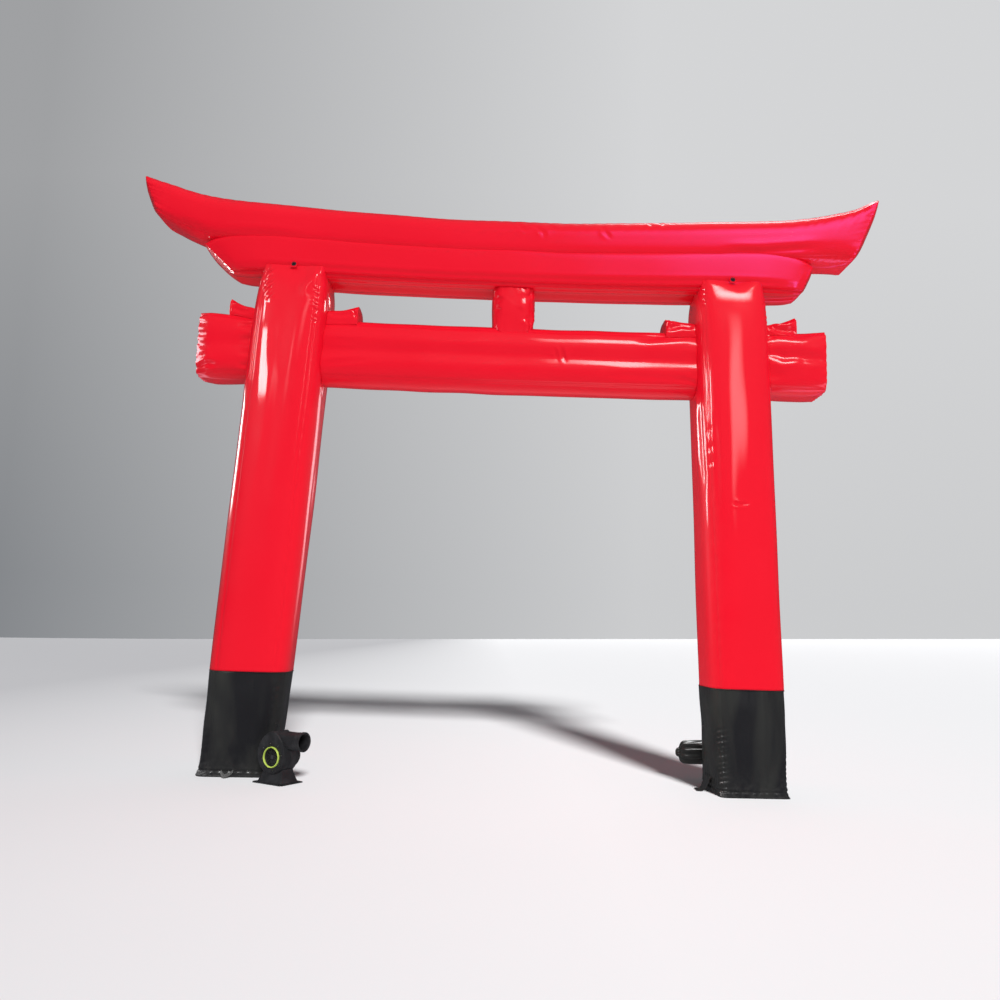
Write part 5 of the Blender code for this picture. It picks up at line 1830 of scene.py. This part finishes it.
def makeScrews(place, facing):
    # round the scroll's front face, and at the corners of the base plate
    look = blowerLook
    head = closedGrid("screw", lathe(look["screw"], 20), Matrix.Identity(4), "steel")
    onFace = grown("screws", "round", {
        "Item": head, "Count": look["screws"], "Radius": look["screwCircle"], "Start": 0.2},
        "steel", place=facing)
    far, near, radius = look["baseScrewsAt"]
    onBase = place @ Matrix.Diagonal((1, 0.91, 1, 1)) @ Matrix.Translation((0, 0, look["base"][2]))
    atCorners = grown("baseScrews", "round", {
        "Item": head, "Count": 4, "Radius": radius, "Start": math.atan2(near, far)}, "steel", place=onBase)
    bpy.data.objects.remove(head)
    handOver(merge("blowerScrews", onFace, atCorners), "eyelet_steel")


def makeBlower():
    place, half, height = blowerPlace(), blowerLook["scrollThickness"] / 2, blowerLook["scrollHeight"]
    facing = place @ Matrix.Translation((0, -half, height)) @ Matrix.Rotation(math.pi / 2, 4, "X")
    backing = place @ Matrix.Translation((0, half, height)) @ Matrix.Rotation(-math.pi / 2, 4, "X")
    makeHousing(place)
    makeInletRing(facing)
    makeGrille(facing)
    makeVanes(facing)
    makeMotorCover(backing)
    makeStand(place)
    makeBase(place)
    makeScrews(place, facing)


makeBlower()
print("blower made")


# floor, lights and background
white = (1.0, 1.0, 1.0)
studioLook = {
    # painted shade: the floor and the backdrop at the left and at the right, darker to the left
    "floorLeft": (0.49, 0.49, 0.505),
    "floorRight": (0.84, 0.84, 0.85),
    "wallLow": ((0.235, 0.245, 0.26), (0.6, 0.605, 0.615)),
    "wallHigh": ((0.35, 0.355, 0.365), (0.66, 0.665, 0.675)),
    # where the painted shade blends: x or z of each end
    "floorAcross": (-6.0, 0.5),
    "wallAcross": (-42.0, 12.0),
    "wallUp": (4.0, 40.0),
    "wallDistance": 70,
    "sweepStart": 9,
    # height of the floor's far edge at the left and the right, so that it looks level
    "sweepEdge": (-2.58, 2.21),
    "room": (0.052, 0.052, 0.06),
    "beyond": (0.58, 0.585, 0.595),
    # what each lights, where it comes from, strength, softness in degrees
    "suns": {
        "front": ("arch", (0.1, -0.8, 0.52), 1.68, 24),
        "above": ("arch", (0.0, -0.1, 1.0), 2.0, 140),
        "below": ("arch", (0.1, -0.45, -0.8), 1.9, 120),
        "right": ("red", (0.9, -0.35, 0.1), 0.6, 90),
        "inner": ("leftPillar", (0.98, 0.12, 0.05), 0.85, 40),
        "innerRight": ("rightPillar", (-0.98, 0.12, 0.05), 1.9, 70),
        "floorSun": ("stage", (0.22, -0.84, 0.5), 6.5, 10),
    },
    # the pieces that a card is mirrored in, place, aim, size across, size up, brightness, colour, soft edge
    "cards": {
        "beamHaze": ("beams", (4.4, -5.6, 7.8), (1.2, 0, 3.5), 10, 8, 4.2, (0.62, 0.23, 1), 0.5),
        "beamLow": ("beams", (7.2, -5.4, 3.4), (1.9, 0, 3.4), 4.6, 4.2, 6, (0.62, 0.23, 1), 0.5),
        "beamRim": ("beams", (2.8, 2.2, 8.5), (1.6, 0, 3.7), 5.5, 2, 6, (1, 0.92, 0.95), 0.4),
        "beamUnder": ("beams", (0.2, -0.1, 0.03), (0.2, -0.1, 3), 6, 1.2, 1.2, white, 0.3),
        "beamFloor": ("beams", (0, 3, 0.03), (0, 3, 3), 9, 9, 0.22, (1, 0.95, 1), 0.3),
        "beamFloorRight": ("beams", (4.6, 3, 0.03), (4.6, 3, 3), 3.6, 9, 2.2, (0.25, 0.24, 1), 0.5),
        "beamCorner": ("beams", (3.3, 0.7, 0.03), (3.3, 0.7, 3), 2.6, 3.2, 3, (1, 0.3, 0.8), 0.4),
        "tieFloor": ("ties", (1, 3, 0.03), (1, 3, 3), 9, 9, 0.25, (1, 0.88, 0.92), 0.4),
        "tieFloorRight": ("ties", (4.8, 3.5, 0.03), (4.8, 3.5, 3), 3.6, 9, 1.6, (0.6, 0.42, 1), 0.5),
        "tieFloorLeft": ("ties", (-4.7, 3.5, 0.03), (-4.7, 3.5, 3), 3.2, 9, 1.2, (0.95, 0.8, 1), 0.5),
        "tieCorner": ("ties", (3, -0.3, 0.03), (3, -0.3, 3), 2.4, 3, 2.6, (1, 0.42, 0.7), 0.4),
        "tieCornerLeft": ("ties", (-3.2, -0.3, 0.03), (-3.2, -0.3, 3), 2, 3, 2.6, (1, 0.8, 0.9), 0.4),
        "tieLowRight": ("ties", (5.2, -3.5, 0.03), (5.2, -3.5, 3), 4.2, 4.2, 4.2, (1, 0.5, 0.72), 0.5),
        "tieLowLeft": ("ties", (-5.4, -3.5, 0.03), (-5.4, -3.5, 3), 4.2, 4.2, 3.6, (1, 0.62, 0.8), 0.5),
        "beamEnd": ("lowerBeam", (-6.2, 2.2, 1.5), (-1.9, 0, 3.2), 2.6, 1.5, 18, white, 0.2),
        "tieHigh": ("ties", (2.2, -5, 7.4), (0.8, 0, 2.8), 4, 2.2, 13, white, 0.35),
        "tieUnder": ("ties", (1.6, -2, 0.03), (1.6, -2, 3), 5, 2.2, 0.8, (1, 0.88, 0.92), 0.4),
        "tieSide": ("ties", (-6.2, 0.4, 3.9), (-2, -0.1, 2.7), 5, 1.6, 6.5, (1, 0.92, 1), 0.25),
        "pillarHigh": ("pillars", (2.8, -4.85, 7.3), (1.45, 0, 3.1), 2.8, 2.4, 15, white, 0.45),
        "frontRight": ("pillars", (3.0, -6.3, 4.4), (1.45, 0, 2.4), 0.7, 4.2, 4, white, 0.45),
        "frontLeft": ("pillars", (-2.6, -6.3, 4.2), (-1.3, 0, 2.8), 0.8, 1.8, 1.6, white, 0.45),
        "frontWindow": ("pillars", (-5.1, -6.3, 4.46), (-1.6, 0, 2.6), 1.8, 1.22, 20, white, 0.08),
        "sideWindow": ("pillars", (-6.2, -1.9, 4.3), (-1.6, 0, 2.7), 0.5, 1.3, 20, white, 0.1),
        "sideDoor": ("pillars", (-6.4, 2.2, 3.1), (1.2, -0.2, 2.1), 1.8, 1.8, 14, white, 0.2),
        "farDoor": ("rightPillar", (-6.2, 5, 4.3), (1.25, -0.2, 2.3), 2, 1.9, 14, white, 0.15),
        "topWindow": ("leftPillar", (-6.4, -6.3, 6.3), (-1.6, 0, 2.9), 1.2, 1.6, 20, white, 0.2),
        "softLeft": ("leftPillar", (-0.9, -6.3, 5.3), (-1.5, 0, 2.9), 1.5, 2.6, 1.7, white, 0.5),
        "rimLeft": ("leftPillar", (2.6, 8.6, 3.4), (-1.25, -0.1, 2.2), 3.4, 7, 2.6, (1, 0.8, 0.86), 0.4),
        "innerGlow": ("rightPillar", (-6.2, 3.8, 1.7), (1.25, -0.1, 1.4), 5, 3.4, 0.55, (1, 0.22, 0.3), 0.5),
        "innerWindow": ("leftPillar", (4, 3.9, 5.4), (-1.3, -0.1, 3), 1.4, 1.2, 14, white, 0.15),
        "lowRight": ("feet", (3.4, -6.3, 1.2), (1.5, 0, 0.3), 0.5, 2.4, 1, white, 0.3),
        "lowHigh": ("feet", (0.8, -2.2, 5.5), (0.6, 0, 0.3), 2.6, 0.9, 7, white, 0.2),
        "sleeveHigh": ("sleeve", (1.45, 0.95, 1.6), (1.12, 0.3, 0.3), 1.2, 0.8, 9, white, 0.2),
    },
    "groups": {
        "red": ("topBeam", "lowerBeam", "tieBeam", "tieEnd", "wedge", "centreStrut", "pillar"),
        "beams": ("topBeam", "lowerBeam"),
        "lowerBeam": ("lowerBeam",),
        "leftPillar": ("pillar.left",),
        "rightPillar": ("pillar.right",),
        "sleeve": ("inflationSleeve",),
        "ties": ("tieBeam", "tieEnd", "wedge", "centreStrut"),
        "pillars": ("pillar", "foot"),
        "feet": ("foot", "blower", "motor", "anchor", "inflation"),
    },
}


def colourBackdrop():
    # the backdrop glows by itself, with painted shade that darkens it to the left and lower down
    made, shader = newMaterial("wallPaint", (0.0, 0.0, 0.0), 1.0)
    shader.inputs["Specular IOR Level"].default_value = 0.0
    shader.inputs["Emission Strength"].default_value = 1.0
    parts = placeParts(made)
    shade = remap(made, parts["X"], 0.0, 1.0, *studioLook["wallAcross"])
    climb = remap(made, parts["Z"], 0.0, 1.0, *studioLook["wallUp"])
    low = mixColours(made, shade, *studioLook["wallLow"])
    high = mixColours(made, shade, *studioLook["wallHigh"])
    join(made, mixColours(made, climb, low, high), shader.inputs["Emission Color"])
    return made


def colourFloor():
    # painted shade: the floor is darker towards the left
    made, shader = newMaterial("floorPaint", studioLook["floorRight"], 0.8)
    shade = remap(made, placeParts(made)["X"], 0.0, 1.0, *studioLook["floorAcross"])
    join(made, mixColours(made, shade, studioLook["floorLeft"], studioLook["floorRight"]),
         shader.inputs["Base Color"])
    return made


def flatSheet(name, near, far, material, steps=24):
    # a sheet between two straight edges, each given by its left and right corner
    share = np.linspace(0, 1, steps + 1)[:, None]
    first, last = (np.array(left) + (np.array(right) - left) * share for left, right in (near, far))
    grid = np.array([first + (last - first) * part for part in share[:, 0]])
    wide = steps + 1
    faces = [(i * wide + k, i * wide + k + 1, (i + 1) * wide + k + 1, (i + 1) * wide + k)
             for i in range(steps) for k in range(steps)]
    mesh = bpy.data.meshes.new(name)
    mesh.from_pydata(grid.reshape(-1, 3).tolist(), [], faces)
    mesh.materials.append(material)
    made = addObject(name, mesh)
    made.visible_glossy = False  # the cards alone are mirrored
    made.visible_shadow = False
    made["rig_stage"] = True
    return made


def addLight(name, kind, place, way):
    data = bpy.data.lights.new(name, kind)
    made = addObject(name, data)
    made.location = place
    made.rotation_euler = way.to_track_quat("Z", "Y").to_euler()
    return made, data


def softenEdges(data, edge):
    # the card fades out over a share of its width and height
    data.use_nodes = True
    spot = addNode(data, "ShaderNodeNewGeometry")
    split = addNode(data, "ShaderNodeSeparateXYZ")
    join(data, spot.outputs["Parametric"], split.inputs["Vector"])
    both = addNode(data, "ShaderNodeMath", operation="MULTIPLY")
    for k, axis in enumerate("XY"):
        inward = addNode(data, "ShaderNodeMath", {1: 0.5}, operation="PINGPONG")
        join(data, split.outputs[axis], inward.inputs[0])
        fade = addNode(data, "ShaderNodeMapRange", {"From Min": 0.0, "From Max": edge},
                       interpolation_type="SMOOTHSTEP")
        join(data, inward.outputs["Value"], fade.inputs["Value"])
        join(data, fade.outputs["Result"], both.inputs[k])
    glow = next(node for node in data.node_tree.nodes if node.type == "EMISSION")
    join(data, both.outputs["Value"], glow.inputs["Strength"])


def gatherGroups():
    groups = {name: bpy.data.collections.new(name) for name in ("arch", "stage", *studioLook["groups"])}
    for piece in bpy.context.scene.objects:
        if piece.type != "MESH":
            continue
        groups["stage" if "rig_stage" in piece else "arch"].objects.link(piece)
        for group, starts in studioLook["groups"].items():
            if piece.name.startswith(starts):
                groups[group].objects.link(piece)
    return groups


def makeStudio():
    far, start = studioLook["wallDistance"], studioLook["sweepStart"]
    left, right = studioLook["sweepEdge"]
    edge = ((-far, far, left), (far, far, right))
    paint = colourFloor()
    flatSheet("floor", ((-far, -far, 0), (far, -far, 0)), ((-far, start, 0), (far, start, 0)), paint)
    flatSheet("sweep", ((-far, start, 0), (far, start, 0)), edge, paint)
    flatSheet("wall", edge, ((-far, far, far), (far, far, far)), colourBackdrop())
    world = bpy.data.worlds.new("studio")
    world.use_nodes = True
    # pale where it is seen past the backdrop, dark where the vinyl mirrors it
    seen = addNode(world, "ShaderNodeLightPath").outputs["Is Camera Ray"]
    join(world, mixColours(world, seen, studioLook["room"], studioLook["beyond"]),
         world.node_tree.nodes["Background"].inputs["Color"])
    bpy.context.scene.world = world
    groups = gatherGroups()
    for name, (group, way, strength, softness) in studioLook["suns"].items():
        sun, data = addLight(name, "SUN", (0, 0, 8), Vector(way))
        data.energy, data.angle = strength, math.radians(softness)
        sun.visible_glossy = False
        sun.light_linking.receiver_collection = groups[group]
    for name, (group, place, aim, wide, tall, brightness, colour, soft) in studioLook["cards"].items():
        card, data = addLight(name, "AREA", place, Vector(place) - Vector(aim))
        data.shape = "RECTANGLE"
        data.size, data.size_y = wide, tall
        data.energy = brightness * math.pi * wide * tall
        data.color = colour
        softenEdges(data, soft)
        card.visible_diffuse = False
        card.light_linking.receiver_collection = groups[group]
    bpy.context.scene.view_settings.view_transform = "Standard"


makeStudio()
print("studio lit")
